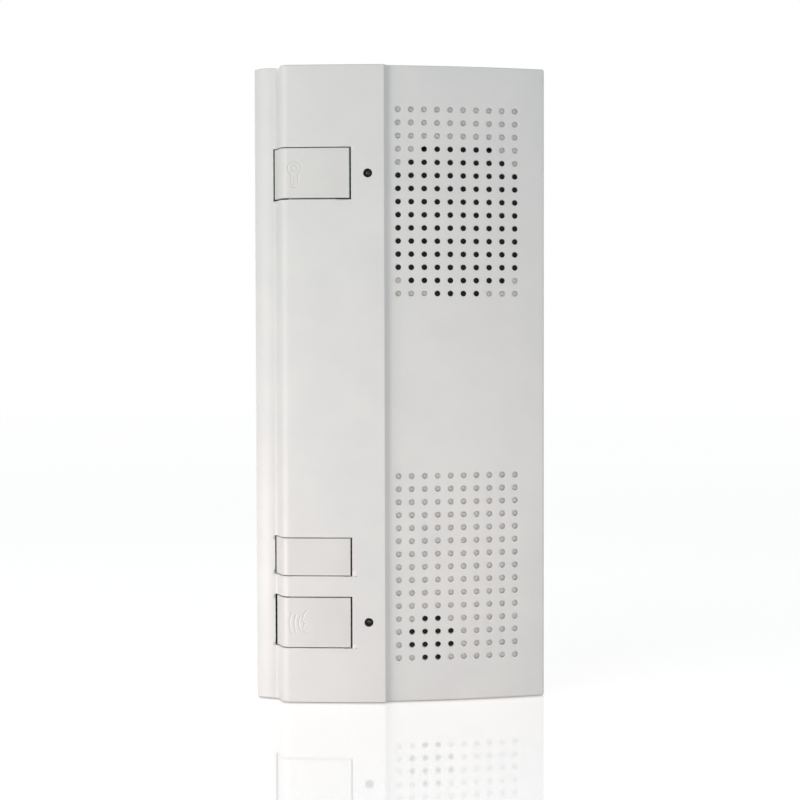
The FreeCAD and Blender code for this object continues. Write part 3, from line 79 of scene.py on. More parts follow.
cover_low, cover_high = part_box("front_cover")
HALF_WIDTH = cover_high.x / MM
HALF_HEIGHT = cover_high.z / MM
RIM_OUT = -cover_high.y / MM
print(f"housing: {2 * HALF_WIDTH:.1f} mm wide, {2 * HALF_HEIGHT:.1f} mm tall")

# %% [markdown]
# The housing has the same section all the way up, so that section is the one drawing that
# everything else follows: the outside, the inside of the wall, and the faces of the buttons.
# It is a row of sides, some flat and some round, with a rounded corner between each two.
# A corner's arc has the same centre for the outside and the inside, only its radius changes,
# so the wall keeps its thickness round every bend, as a moulded wall does.

# %% The sides and corners of the section
WALL = 2.0
STRIP_OUT = 29.8
STRIP_FALL = 3.3                # how far the strip curves back at the unit's left edge
CREASE = -42.95
BANK_TOP = -40.5
STEP_TOP = -5.3
STEP_FOOT = -3.6
PANEL_CREST = -28.35
CROWN_RADIUS = 430.0
PANEL_RADIUS = 278.0
CROWN_OUT = -cover_low.y / MM
STEP_DEPTH = 2.2

STRIP_RADIUS = ((CREASE + HALF_WIDTH) ** 2 + STRIP_FALL ** 2) / (2 * STRIP_FALL)
STRIP_CENTRE = np.array((CREASE, STRIP_OUT - STRIP_RADIUS))
CROWN_CENTRE = np.array((STEP_TOP, CROWN_OUT - CROWN_RADIUS))
PANEL_CENTRE = np.array((PANEL_CREST, CROWN_OUT - STEP_DEPTH
                         - math.sqrt(PANEL_RADIUS ** 2 - (STEP_FOOT - PANEL_CREST) ** 2)))


def out_at(centre, radius, across, inset=0.0):
    """How far a round side stands out at one place across."""
    return centre[1] + math.sqrt((radius - inset) ** 2 - (across - centre[0]) ** 2)


def flat_side(start, end):
    """A flat side: a point on it, and the way it faces."""
    along = np.subtract(end, start)
    return "flat", np.array(start, float), np.array((-along[1], along[0])) / math.hypot(*along)


LEFT_POINT = (-HALF_WIDTH, STRIP_OUT - STRIP_FALL)
CREASE_POINT = (CREASE, STRIP_OUT)
BANK_POINT = (BANK_TOP, out_at(CROWN_CENTRE, CROWN_RADIUS, BANK_TOP))
STEP_POINT = (STEP_TOP, CROWN_OUT)
FOOT_POINT = (STEP_FOOT, CROWN_OUT - STEP_DEPTH)
EDGE_POINT = (HALF_WIDTH, out_at(PANEL_CENTRE, PANEL_RADIUS, HALF_WIDTH))
SIDES = [
    flat_side((-HALF_WIDTH, RIM_OUT), LEFT_POINT),
    ("round", STRIP_CENTRE, STRIP_RADIUS),
    flat_side(CREASE_POINT, BANK_POINT),
    ("round", CROWN_CENTRE, CROWN_RADIUS),
    flat_side(STEP_POINT, FOOT_POINT),
    ("round", PANEL_CENTRE, PANEL_RADIUS),
    flat_side(EDGE_POINT, (HALF_WIDTH, RIM_OUT)),
]
# Where each corner is, its radius (below zero for a hollow corner) and its steps
CORNERS = [
    (LEFT_POINT, 0.8, 6),
    (CREASE_POINT, -1.5, 7),
    (BANK_POINT, 3.5, 10),
    (STEP_POINT, 0.5, 5),
    (FOOT_POINT, -2.2, 9),
    (EDGE_POINT, 0.8, 6),
]
print("section:", len(SIDES), "sides and", len(CORNERS), "corners")

# %% [markdown]
# To round a corner, its centre is found where the two sides, moved inwards by the radius,
# meet. That is a small Newton search: measure how far the point is off each side, step, and
# repeat. Six or seven steps bring it to far less than a hair.

# %% Where two sides meet
SEARCH_STEPS = 7


def height_over(side, point):
    """How far a point stands outside a side."""
    kind, anchor, size = side
    if kind == "flat":
        return float(np.dot(point - anchor, size))
    return math.hypot(*(point - anchor)) - size


def outward(side, point):
    """The way a side faces at a point."""
    kind, anchor, size = side
    if kind == "flat":
        return size
    return (point - anchor) / math.hypot(*(point - anchor))


def meet(first, second, inset, start):
    """Where two sides meet, each moved inwards by the inset."""
    point = np.array(start, float)
    for _ in range(SEARCH_STEPS):
        slopes = np.array([outward(first, point), outward(second, point)])
        misses = np.array([height_over(first, point), height_over(second, point)]) + inset
        point = point - np.linalg.solve(slopes, misses)
    return point


def around(centre, radius, begin, end, steps):
    """Points along an arc, from one angle to another."""
    return [centre + radius * np.array((math.cos(turn), math.sin(turn)))
            for turn in np.linspace(begin, end, steps)]


def corner_arc(number, inset):
    """The points of one rounded corner, for the outside or for a line inside it."""
    start, radius, steps = CORNERS[number]
    first, second = SIDES[number], SIDES[number + 1]
    if inset >= radius > 0:
        return [meet(first, second, inset, start)] * steps
    centre = meet(first, second, radius, start)
    begin, end = (math.atan2(*outward(side, centre)[::-1]) for side in (first, second))
    return around(centre, radius - inset, begin, end, steps)


print("corner points:", sum(len(corner_arc(number, 0)) for number in range(len(CORNERS))))

# %% [markdown]
# Three stretches of the section are curves, and they get stations of their own between the
# corners. Some stations have a second job: they lie where a hole's little patch, or the edge
# of a button's opening, has to join the surface without a gap. The openings are read from the
# frame: each is the button's cap with a small gap all round.

# %% Openings, holes and the stations they need
PITCH = 4.5                     # from one hole of the grille to the next
HOLE_SIDE, LAMP_SIDE = 3.2, 4.5     # the sides of the square patches with the holes in them
PATCH_STEPS = 4                 # a patch joins the surface round it at this many steps a side
COLUMNS, ROWS = 10, 15
GRILLE_LEFT = -0.55             # the middle of the first column
GRILLE_END = 94.45              # the middle of the outermost row, up or down
SIDE_GAP, END_GAP = 0.45, 0.3   # between a button's cap and its opening
FLANGE_REACH = 1.2              # how far a button's flange reaches past its cap
BUTTONS = ["door_button", "service_button", "talk_button"]
LAMPS = {name: middle_of(name) for name in ("door_lamp", "talk_lamp")}
LAMP_ACROSS = round(LAMPS["door_lamp"][0], 3)


def opening_of(button):
    """The edges of a button's opening, across and up."""
    low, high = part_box(button)
    reach = FLANGE_REACH - END_GAP
    return ((round(low.x / MM - SIDE_GAP, 3), round(high.x / MM + SIDE_GAP, 3)),
            (round(low.z / MM + reach, 3), round(high.z / MM - reach, 3)))


def patch_lines(first, count, side=HOLE_SIDE):
    """The lines along the sides of a row of patches."""
    return [first + PITCH * number + side * (step / PATCH_STEPS - 0.5)
            for number in range(count) for step in range(PATCH_STEPS + 1)]


OPENINGS = {name: opening_of(name) for name in BUTTONS}
OPENING_LEFT, OPENING_RIGHT = OPENINGS["door_button"][0]
STRIP_STEPS = 8
CROWN_STATIONS = [*np.arange(-37.5, -19.0, 3.0), OPENING_RIGHT, -14.9]
CROWN_STATIONS += patch_lines(LAMP_ACROSS, 1, LAMP_SIDE) + [-7.5]
PANEL_STATIONS = patch_lines(GRILLE_LEFT, COLUMNS) + [43.6, 45.0, 46.4, 47.6]
UP_LINES = patch_lines(-GRILLE_END, ROWS) + patch_lines(GRILLE_END - PITCH * (ROWS - 1), ROWS)
for across, up in LAMPS.values():
    UP_LINES += patch_lines(round(up, 3), 1, LAMP_SIDE)
for _, edges in OPENINGS.values():
    UP_LINES += edges
UP_LINES.sort()
print("openings:", OPENINGS)


def along_side(number, stations, inset):
    """Points of a round side, or of a surface inside it, at its stations."""
    _, centre, radius = SIDES[number]
    return [np.array((across, out_at(centre, radius, across, inset))) for across in stations]


def along_strip(inset):
    """Points of the strip's arc, in even steps between its two corners."""
    ends = corner_arc(0, inset)[-1], corner_arc(1, inset)[0]
    begin, end = (math.atan2(*(point - STRIP_CENTRE)[::-1]) for point in ends)
    return around(STRIP_CENTRE, STRIP_RADIUS - inset, begin, end, STRIP_STEPS + 2)[1:-1]


def section(inset):
    """The whole section as a row of points (across, out), as many for any inset."""
    line = [np.array((inset - HALF_WIDTH, RIM_OUT))] + corner_arc(0, inset)
    line += along_strip(inset)
    crease = corner_arc(1, inset)
    # The openings begin just before the crease, so its first point is moved there
    out = np.interp(OPENING_LEFT, *np.transpose(line[-1:] + crease))
    crease[0] = np.array((OPENING_LEFT, out))
    line += crease + corner_arc(2, inset)
    line += along_side(3, CROWN_STATIONS, inset) + corner_arc(3, inset)
    line += corner_arc(4, inset) + along_side(5, PANEL_STATIONS, inset)
    line += corner_arc(5, inset) + [np.array((HALF_WIDTH - inset, RIM_OUT))]
    return np.array(line)


OUTSIDE = section(0)
INSIDE = section(WALL)
print(f"section: {len(OUTSIDE)} stations, {len(UP_LINES)} lines across")

# %% [markdown]
# A good habit in mesh code is one small set of tools that everything shares. Here a mesh is
# gathered in a bmesh, loop by loop. A row of loops with the same number of points makes a
# skin, and a closing face at each end makes it a solid. The finishing step merges points that
# fall together, turns the faces outwards and gives the piece its name, its finish and its body.

# %% Tools for making pieces
def add_loop(mesh, points):
    """Puts a row of points, given in millimetres, into a mesh."""
    return [mesh.verts.new(at(*point)) for point in points]


def add_face(mesh, corners):
    """A face, unless some of its corners fall together."""
    if len(set(corners)) == len(corners) > 2:
        mesh.faces.new(corners)


def skin(mesh, loops, closed=True):
    """Faces between each loop and the next."""
    for first, second in zip(loops, loops[1:]):
        count = len(first)
        for here in range(count if closed else count - 1):
            there = (here + 1) % count
            add_face(mesh, (first[here], first[there], second[there], second[here]))


def solid(mesh, rings):
    """A closed solid from a row of rings of points."""
    loops = [add_loop(mesh, ring) for ring in rings]
    skin(mesh, loops)
    add_face(mesh, loops[0])
    add_face(mesh, loops[-1])


def border(grid):
    """The border of a grid of points, or of a mesh's corners, as a ring."""
    return ([*grid[0]] + [row[-1] for row in grid[1:-1]] + [*grid[-1]][::-1]
            + [row[0] for row in grid[-2:0:-1]])


def circle(across, up, radius, out, steps=32):
    """A ring of points round an axis that points out from the wall."""
    turns = [2 * math.pi * step / steps for step in range(steps)]
    return [(across + radius * math.cos(turn), out, up + radius * math.sin(turn))
            for turn in turns]


def mesh_data(mesh, name):
    """Turns a gathered mesh into the data of an object."""
    data = bpy.data.meshes.new(name)
    mesh.to_mesh(data)
    mesh.free()
    return data


def new_object(name, data):
    """An object in the scene that shows the data given."""
    made = bpy.data.objects.new(name, data)
    bpy.context.collection.objects.link(made)
    return made


MERGE = 1e-6                    # corners nearer than this become one, in metres
SHARP = math.radians(38)        # an edge that turns more than this stays sharp


def finish_piece(mesh, name, finish, body, slot, *nodes):
    """Makes an object of the mesh, which rides on a body and stands for CAD nodes."""
    bmesh.ops.remove_doubles(mesh, verts=mesh.verts, dist=MERGE)
    bmesh.ops.dissolve_degenerate(mesh, edges=mesh.edges, dist=MERGE)
    bmesh.ops.recalc_face_normals(mesh, faces=mesh.faces)
    piece = new_object(name, mesh_data(mesh, name))
    piece.data.shade_smooth()
    piece.data.set_sharp_from_angle(angle=SHARP)
    piece.data.materials.append(finish)
    normals = piece.modifiers.new("even shading", "WEIGHTED_NORMAL")
    normals.keep_sharp = True
    normals.weight = 100
    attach(piece, body)
    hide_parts(*nodes)
    print(f"{name}: {len(piece.data.polygons)} faces")


print("corners merge within", MERGE / MM, "mm")

# %% [markdown]
# The grille is three hundred small holes in two fields. Most are blind dimples, and only those
# in front of the loudspeaker and the microphone go through. Cutting them with booleans would
# be slow and leave ragged shading. Instead each hole is a small square patch with the hole
# already in it. Geometry Nodes copy the patch over a grid of points, choose the open kind by
# distance, and then bend the whole field onto the curved panel. The patch borders fall on the
# stations of the housing's skin, so in the end the two merge into one mesh.

# %% One patch for each kind of hole
HOLE_RADIUS = 1.0
LAMP_HOLE_RADIUS = 1.55
DIMPLE_DEPTH = 1.45
DIMPLE_DOME = 0.15              # how far the floor of a dimple rises in its middle
DOME_SHARE = 0.45               # and how much of the dimple's radius that raised middle takes
RIM_SPREAD = 0.16               # how far the softened rim reaches round a hole
RIM_FALL = ((1.0, 0.0), (0.35, 0.03), (0.0, 0.13))  # its points: share of that reach, and depth
STEPS_ROUND = 4 * PATCH_STEPS


def border_point(step, side):
    """A point on the square border of a patch."""
    turn = 2 * math.pi * step / STEPS_ROUND
    along = np.array((math.cos(turn), math.sin(turn)))
    along /= np.abs(along).max()
    return np.round(along * PATCH_STEPS / 2) / PATCH_STEPS * side


def patch(name, side, radius, depth, opens):
    """A square of wall with a hole in it. Its depth lies along plus Y, its face at Y = 0."""
    mesh = bmesh.new()
    square = [border_point(step, side) for step in range(STEPS_ROUND)]
    rings = [(radius + RIM_SPREAD * share, down) for share, down in RIM_FALL] + [(radius, depth)]
    if not opens:
        rings.append((radius * DOME_SHARE, depth - DIMPLE_DOME))
    loops = [add_loop(mesh, [(x, 0, z) for x, z in square])]
    loops += [add_loop(mesh, circle(0, 0, size, -down, STEPS_ROUND)) for size, down in rings]
    if opens:
        loops.append(add_loop(mesh, [(x, -depth, z) for x, z in square]))
    skin(mesh, loops)
    if not opens:
        add_face(mesh, loops[-1])
    return bpy.data.objects.new(name, mesh_data(mesh, name))


OPEN_PATCH = patch("open_patch", HOLE_SIDE, HOLE_RADIUS, WALL, True)
DIMPLE_PATCH = patch("dimple_patch", HOLE_SIDE, HOLE_RADIUS, DIMPLE_DEPTH, False)
LAMP_PATCH = patch("lamp_patch", LAMP_SIDE, LAMP_HOLE_RADIUS, WALL, True)
print("faces in a patch:", len(OPEN_PATCH.data.polygons), len(DIMPLE_PATCH.data.polygons))

# %% [markdown]
# Every node tree in this file, for shapes and for finishes alike, is written with one small
# function. It adds a node, sets its options, and fills its sockets either with plain values
# or with the output of another node.

# %% One function that adds a node
def add(tree, kind, sockets=None, **options):
    """Adds a node. Sockets are given by name or number, as a value or as an output to link."""
    node = tree.nodes.new(kind)
    for option, choice in options.items():
        setattr(node, option, choice)
    for socket, content in (sockets or {}).items():
        if isinstance(content, bpy.types.NodeSocket):
            tree.links.new(content, node.inputs[socket])
        else:
            node.inputs[socket].default_value = content
    return node


def maths(tree, operation, first, second=0.0):
    """The result of one step of arithmetic."""
    return add(tree, "ShaderNodeMath", {0: first, 1: second}, operation=operation).outputs[0]


def shape_tree(name, inputs):
    """An empty Geometry Nodes tree with named inputs: returns it and the values given to it."""
    tree = bpy.data.node_groups.new(name, "GeometryNodeTree")
    tree.interface.new_socket("Geometry", in_out="INPUT", socket_type="NodeSocketGeometry")
    tree.interface.new_socket("Geometry", in_out="OUTPUT", socket_type="NodeSocketGeometry")
    for label, kind in inputs.items():
        tree.interface.new_socket(label, in_out="INPUT", socket_type="NodeSocket" + kind)
    return tree, tree.nodes.new("NodeGroupInput").outputs


def run_tree(tree, name, values):
    """Runs a tree on an empty mesh with the values given, and returns the mesh it makes."""
    holder = new_object(name, bpy.data.meshes.new(name))
    modifier = holder.modifiers.new(name, "NODES")
    modifier.node_group = tree
    for item in tree.interface.items_tree:
        if item.in_out == "INPUT" and item.name in values:
            modifier[item.identifier] = values[item.name]
    holder.update_tag()
    bpy.context.view_layer.update()
    ready = holder.evaluated_get(bpy.context.evaluated_depsgraph_get())
    made = bpy.data.meshes.new_from_object(ready)
    holder.modifiers.clear()
    bpy.data.objects.remove(holder)
    return made


FIELD_INPUTS = {
    "Open patch": "Object", "Closed patch": "Object", "Columns": "Int", "Rows": "Int",
    "Pitch": "Float", "Middle": "Vector", "Open middle": "Vector", "Open reach": "Float",
    "Curve middle": "Vector", "Curve radius": "Float", "Finish": "Material",
}
field_tree, given = shape_tree("field of holes", FIELD_INPUTS)
print("inputs of the grille's tree:", len(FIELD_INPUTS))

# %% [markdown]
# The tree lays a flat grid of points, stands it upright in front of the panel, and puts a patch
# on each point. A point nearer to the loudspeaker, or to the microphone, than the open reach
# gets the open patch, and all the others get the dimple.

# %% The tree that lays out a field of holes
wide = maths(field_tree, "MULTIPLY", maths(field_tree, "SUBTRACT", given["Columns"], 1), given["Pitch"])
tall = maths(field_tree, "MULTIPLY", maths(field_tree, "SUBTRACT", given["Rows"], 1), given["Pitch"])
points = add(field_tree, "GeometryNodeMeshGrid", {
    "Size X": wide, "Size Y": tall, "Vertices X": given["Columns"], "Vertices Y": given["Rows"]})
standing = add(field_tree, "GeometryNodeTransform", {
    "Geometry": points.outputs["Mesh"], "Translation": given["Middle"],
    "Rotation": (math.pi / 2, 0, 0)})
place = add(field_tree, "GeometryNodeInputPosition").outputs[0]
reach = add(field_tree, "ShaderNodeVectorMath", {0: place, 1: given["Open middle"]},
            operation="DISTANCE").outputs["Value"]
opens = add(field_tree, "FunctionNodeCompare", {"A": reach, "B": given["Open reach"]},
            operation="LESS_THAN").outputs[0]
closed = add(field_tree, "FunctionNodeBooleanMath", {0: opens}, operation="NOT").outputs[0]
both = add(field_tree, "GeometryNodeJoinGeometry")
for label, chosen in (("Open patch", opens), ("Closed patch", closed)):
    shape = add(field_tree, "GeometryNodeObjectInfo", {"Object": given[label]})
    copies = add(field_tree, "GeometryNodeInstanceOnPoints", {
        "Points": standing.outputs[0], "Selection": chosen, "Instance": shape.outputs["Geometry"]})
    field_tree.links.new(copies.outputs[0], both.inputs[0])
flat = add(field_tree, "GeometryNodeRealizeInstances", {0: both.outputs[0]})
print("so far:", len(field_tree.nodes), "nodes")

# %% [markdown]
# The bend is one formula. A point's own Y is how deep it lies under the surface, so it belongs
# on a circle that much smaller than the panel's. Where the point lies across gives the rest.

# %% Bend the field onto the curved wall
here = add(field_tree, "ShaderNodeSeparateXYZ", {0: place}).outputs
middle = add(field_tree, "ShaderNodeSeparateXYZ", {0: given["Curve middle"]}).outputs
sideways = maths(field_tree, "SUBTRACT", here["X"], middle["X"])
radius = maths(field_tree, "SUBTRACT", given["Curve radius"], here["Y"])
rise = maths(field_tree, "SQRT", maths(field_tree, "SUBTRACT",
                                       maths(field_tree, "MULTIPLY", radius, radius),
                                       maths(field_tree, "MULTIPLY", sideways, sideways)))
depth = maths(field_tree, "SUBTRACT", middle["Y"], rise)
bent = add(field_tree, "GeometryNodeSetPosition", {
    "Geometry": flat.outputs[0],
    "Position": add(field_tree, "ShaderNodeCombineXYZ",
                    {"X": here["X"], "Y": depth, "Z": here["Z"]}).outputs[0]})
finished = add(field_tree, "GeometryNodeSetMaterial", {
    "Geometry": bent.outputs[0], "Material": given["Finish"]})
add(field_tree, "NodeGroupOutput", {0: finished.outputs[0]})
print("tree of the grille:", len(field_tree.nodes), "nodes")

# %% [markdown]
# Now the finishes. Nearly the whole unit is one plastic, ABS, moulded in a steel tool whose
# surface was lightly spark-eroded. That gives a satin white: a broad soft shine, no sharp
# reflections, and a very fine even grain. So the colour hardly varies, and what makes it look
# real is the roughness and the grain. Each finish below is named for the real one.

# %% Colours and patterns for the finishes
def colour(code):
    """An sRGB hex colour as linear red, green, blue and alpha."""
    parts = [int(code[start:start + 2], 16) / 255 for start in (1, 3, 5)]
    return [part / 12.92 if part <= 0.04045 else ((part + 0.055) / 1.055) ** 2.4
            for part in parts] + [1.0]


def per_metre(size):
    """The texture scale whose features are about this size, in millimetres."""
    return 1 / (size * MM)


def new_finish(name, **sockets):
    """A material with one shader, whose even values are set on its own sockets."""
    finish = bpy.data.materials.new(name)
    finish.use_nodes = True
    tree = finish.node_tree
    shader = tree.nodes["Principled BSDF"]
    for socket, content in sockets.items():
        shader.inputs[socket.replace("_", " ")].default_value = content
    finish.diffuse_color = shader.inputs["Base Color"].default_value
    return finish, tree, shader


def object_place(tree):
    """Where a point lies on the piece, in metres."""
    return add(tree, "ShaderNodeTexCoord").outputs["Object"]


def noise(tree, size, detail=2.0):
    """Soft even noise with features of a size in millimetres."""
    return add(tree, "ShaderNodeTexNoise", {
        "Vector": object_place(tree), "Scale": per_metre(size), "Detail": detail,
    }).outputs["Fac"]


def spread(tree, factor, low, high):
    """Brings a pattern into a range. Noise seldom leaves 0.3 to 0.7, so those are its ends."""
    return add(tree, "ShaderNodeMapRange", {
        "Value": factor, "From Min": 0.3, "From Max": 0.7, "To Min": low, "To Max": high,
    }).outputs["Result"]


def two_colours(tree, factor, low, high):
    """A colour between two, by a pattern. The node's colour sockets are numbers 6 and 7."""
    blend = add(tree, "ShaderNodeMix", {0: factor, 6: colour(low), 7: colour(high)},
                data_type="RGBA")
    return blend.outputs[2]


WHITE = "#e1e0de"
print(WHITE, "as linear light:", [round(part, 3) for part in colour(WHITE)[:3]])

# %% [markdown]
# All finishes are built alike: one pattern mixes two near colours, one moves the roughness a
# little, and one raises the surface. Most mouldings and metals have the same kinds of pattern,
# a fine grain under a slow faint change of colour, so they need only a line of numbers each.

# %% How a finish is put together
FINISHES = {}


def dress(slot, parts, tint, colours, shine, rough, height=None, depth=0.0):
    """Lets patterns set a finish's colour, roughness and relief, and keeps it for its slot."""
    finish, tree, shader = parts
    tree.links.new(two_colours(tree, tint, *colours), shader.inputs["Base Color"])
    tree.links.new(spread(tree, shine, *rough), shader.inputs["Roughness"])
    if height is not None:
        bump = add(tree, "ShaderNodeBump",
                   {"Height": height, "Distance": depth * MM, "Strength": 1.0})
        tree.links.new(bump.outputs["Normal"], shader.inputs["Normal"])
    FINISHES[slot] = finish


def grained(name, slot, dark, light, grain, depth, rough, blotch=14.0, **sockets):
    """A finish with a fine grain, and a faint slow change of colour."""
    finish, tree, shader = new_finish(name, Base_Color=colour(light), **sockets)
    slow = spread(tree, noise(tree, blotch), 0, 1)
    fine = noise(tree, grain, detail=3.0)
    dress(slot, (finish, tree, shader), slow, (dark, light), fine, rough, fine, depth)


def banded(name, slot, dark, light, step, axis, depth, rough, **sockets):
    """A finish in even bands across one axis: laminations, windings or printed rings."""
    finish, tree, shader = new_finish(name, Base_Color=colour(light), **sockets)
    place = add(tree, "ShaderNodeSeparateXYZ", {0: object_place(tree)}).outputs[axis]
    wave = maths(tree, "SINE", maths(tree, "MULTIPLY", place, 2 * math.pi * per_metre(step)))
    band = add(tree, "ShaderNodeMapRange", {"Value": wave, "From Min": -1.0}).outputs["Result"]
    dress(slot, (finish, tree, shader), band, (dark, light), noise(tree, 0.6), rough, band, depth)


print("kinds of pattern: grained and banded")

# %% [markdown]
# The mouldings first. Real spark-eroded grain on such a housing is about 0.1 mm across, too
# fine to see from where the camera stands, so it is drawn at 0.45 mm and kept very shallow.
# ABS has an index of refraction of about 1.54. The buttons come from another tool and are
# a touch smoother, and the wall plate behind is the plainer, rougher kind.

# %% Mouldings
# Real finish, slot, two colours, size and depth of the grain, roughness, index of refraction
MOULDINGS = [
    ("spark-eroded ABS, white", "housing_plastic", "#dddcdb", WHITE, 0.45, 0.006, (0.40, 0.48), 1.54),
    ("satin ABS, white", "button_plastic", "#d9d8d6", "#dedcda", 0.45, 0.004, (0.34, 0.42), 1.54),
    ("plain moulded ABS, light grey", "plate_plastic", "#cbcbc8", "#cfcfcc", 0.6, 0.010,
     (0.48, 0.58), 1.54),
    ("matt moulded nylon, black", "black_plastic", "#17181a", "#202224", 0.5, 0.008,
     (0.45, 0.60), 1.53),
    ("moulded acetal, off-white", "switch_plunger", "#cfcbbd", "#dad6c8", 0.5, 0.004,
     (0.35, 0.45), 1.48),
    ("moulded nylon, natural white", "white_nylon", "#d8d5c8", "#e2dfd3", 0.5, 0.005,
     (0.40, 0.52), 1.53),
    ("moulded polyester, blue", "blue_plastic", "#1d4f96", "#2560ad", 0.4, 0.005, (0.32, 0.42), 1.57),
    ("moulded polyamide, green", "green_plastic", "#1f7a3c", "#2a8f49", 0.5, 0.006,
     (0.38, 0.50), 1.53),
    ("glossy wire insulation, red", "red_insulation", "#a81812", "#bf2019", 1.2, 0.010,
     (0.28, 0.36), 1.52),
    ("glossy wire insulation, black", "black_insulation", "#101011", "#1b1b1c", 1.2, 0.010,
     (0.28, 0.36), 1.52),
    ("shrink sleeve, dark blue", "capacitor_sleeve", "#16223f", "#1d2c50", 1.0, 0.006,
     (0.25, 0.33), 1.54),
]
for *look, index in MOULDINGS:
    grained(*look, IOR=index)
print("mouldings:", len(FINISHES))

# %% [markdown]
# Metals keep the default index and get their look from metallic and roughness. Zinc plating is
# a thin bluish coat over pressed steel, cloudy in patches a few millimetres wide. Tinned wire
# is smoother, and brass differs mostly in colour. The copper winding, the laminated core and
# the resistor with its printed rings show even bands instead of a grain.

# %% Metals
# As above, but with the size of the cloudy patches in place of the index
METALS = [
    ("bright zinc plate on steel", "zinc_steel", "#a9adb0", "#c3c6c8", 0.8, 0.006, (0.26, 0.40), 3.5),
    ("hot-tinned copper wire", "tinned_wire", "#b9bab8", "#cfd0cd", 0.6, 0.004, (0.22, 0.34), 2.0),
    ("drawn brass", "brass", "#b08c3e", "#c7a24c", 0.5, 0.004, (0.24, 0.36), 2.5),
    ("spun aluminium can", "capsule_metal", "#b4b6b8", "#c9cbcc", 0.3, 0.003, (0.24, 0.34), 2.0),
]
for look in METALS:
    grained(*look, Metallic=1.0)
banded("enamelled copper winding", "copper", "#7d3d1c", "#b3602f", 0.16, "Y", 0.05,
       (0.25, 0.38), Metallic=1.0)
banded("varnished steel laminations", "laminated_steel", "#33363a", "#63676b", 0.7, "Y", 0.05,
       (0.40, 0.55), Metallic=0.7)
banded("resistor lacquer with rings", "resistor_coat", "#7a4a2c", "#d8c39a", 1.5, "X", 0.01,
       (0.30, 0.42), IOR=1.52)
print("with metals:", len(FINISHES))

# %% [markdown]
# Behind the scenes there are papers, foams and boards. The board's green is a lacquer over
# copper tracks, which show as slightly raised, lighter lines on a grid of 2.54 mm, the pitch of
# the pins. Foam and ferrite are rough and dull, the cone is pressed paper fibre.

# %% Boards, foam, paper and ferrite
PIN_PITCH = 2.54


def circuit_board():
    """Green lacquer over copper tracks on the grid of the pins."""
    finish, tree, shader = new_finish("solder-masked glass epoxy", Base_Color=colour("#14532c"),
                                      IOR=1.55, Coat_Weight=0.4, Coat_Roughness=0.2)
    turn = add(tree, "ShaderNodeMapping", {"Vector": object_place(tree),
                                           "Rotation": (math.pi / 2, 0, 0)}).outputs[0]
    tracks = add(tree, "ShaderNodeTexBrick", {
        "Vector": turn, "Scale": per_metre(PIN_PITCH) / 2, "Mortar Size": 0.09,
        "Mortar Smooth": 0.3, "Brick Width": 1.0, "Row Height": 0.5, "Color1": (0, 0, 0, 1),
        "Color2": (0, 0, 0, 1), "Mortar": (1, 1, 1, 1)}, offset=0.5, squash=1.0).outputs["Fac"]
    dress("circuit_board", (finish, tree, shader), tracks, ("#0f4524", "#2a7a45"),
          noise(tree, 2.0), (0.30, 0.42), tracks, 0.035)


circuit_board()
# As for the metals, but the last number may be left out
DULL = [
    ("open-cell foam, black", "foam_rubber", "#141415", "#2a2a2c", 0.35, 0.20, (0.85, 0.95), 0.9),
    ("sintered ferrite", "ferrite", "#26272a", "#34363a", 0.5, 0.02, (0.45, 0.65)),
    ("pressed paper pulp", "cone_paper", "#1d1c1b", "#35332f", 0.6, 0.05, (0.75, 0.90), 1.5),
    ("phenolic paper board", "tag_board", "#6b3f1e", "#855129", 0.8, 0.01, (0.45, 0.60)),
]
for look in DULL:
    grained(*look)
print("with boards and papers:", len(FINISHES))

# %% [markdown]
# Two finishes show through the holes of the housing. The cloth keeps dust off the cone, and its
# open weave is what makes the open holes look black. The lamps are clear epoxy, cast over a dark
# cup that holds the chip, so an unlit lamp looks nearly black.

# %% Cloth and lamp lenses
THREAD = 0.5                    # from one thread of the cloth to the next


def woven_cloth():
    """Black loudspeaker cloth in an open plain weave."""
    finish, tree, shader = new_finish("acoustic cloth, black", Base_Color=colour("#1a1a1b"),
                                      Sheen_Weight=0.3, Sheen_Roughness=0.6)
    place = add(tree, "ShaderNodeSeparateXYZ", {0: object_place(tree)}).outputs
    waves = [maths(tree, "SINE", maths(tree, "MULTIPLY", place[axis], math.pi * per_metre(THREAD)))
             for axis in ("X", "Z")]
    weave = maths(tree, "ABSOLUTE", maths(tree, "MULTIPLY", *waves))
    dress("speaker_cloth", (finish, tree, shader), weave, ("#08080a", "#2b2b2d"),
          weave, (0.75, 0.95), weave, 0.12)


def lamp_lens():
    """Clear epoxy over a dark cup."""
    finish, tree, shader = new_finish("cast epoxy lens", Base_Color=colour("#191a1b"), IOR=1.5)
    inside = noise(tree, 0.7)
    dress("lamp_lens", (finish, tree, shader), spread(tree, inside, 0, 1), ("#101112", "#2c2e30"),
          inside, (0.06, 0.12))


woven_cloth()
lamp_lens()
print("finishes:", len(FINISHES))

# %% [markdown]
# Most of the inner pieces need nothing more than that: their shape comes straight from the
# engineering model. Each of its nodes already names the slot it takes its finish from.

# %% Dress the nodes that keep their own shape
for node in nodes.values():
    for place in node.material_slots:
        place.material = FINISHES[place.material.name]
print("dressed:", len(nodes), "nodes")

# %% [markdown]
# With the tools ready, the housing itself is short. Its skins have to stay open at the windows
# for the buttons, round the lamps, and where the patches of the grille come in. The inner skin
# is whole behind a dimple, so it only opens where a hole goes through.

# %% Where the skins stay open
SPEAKER = (GRILLE_LEFT + PITCH * (COLUMNS - 1) / 2, GRILLE_END - 8.4 * PITCH)
MICROPHONE = (GRILLE_LEFT + 2.5 * PITCH, 1.5 * PITCH - GRILLE_END)
SPEAKER_REACH = 27.2
MICROPHONE_REACH = 8.4


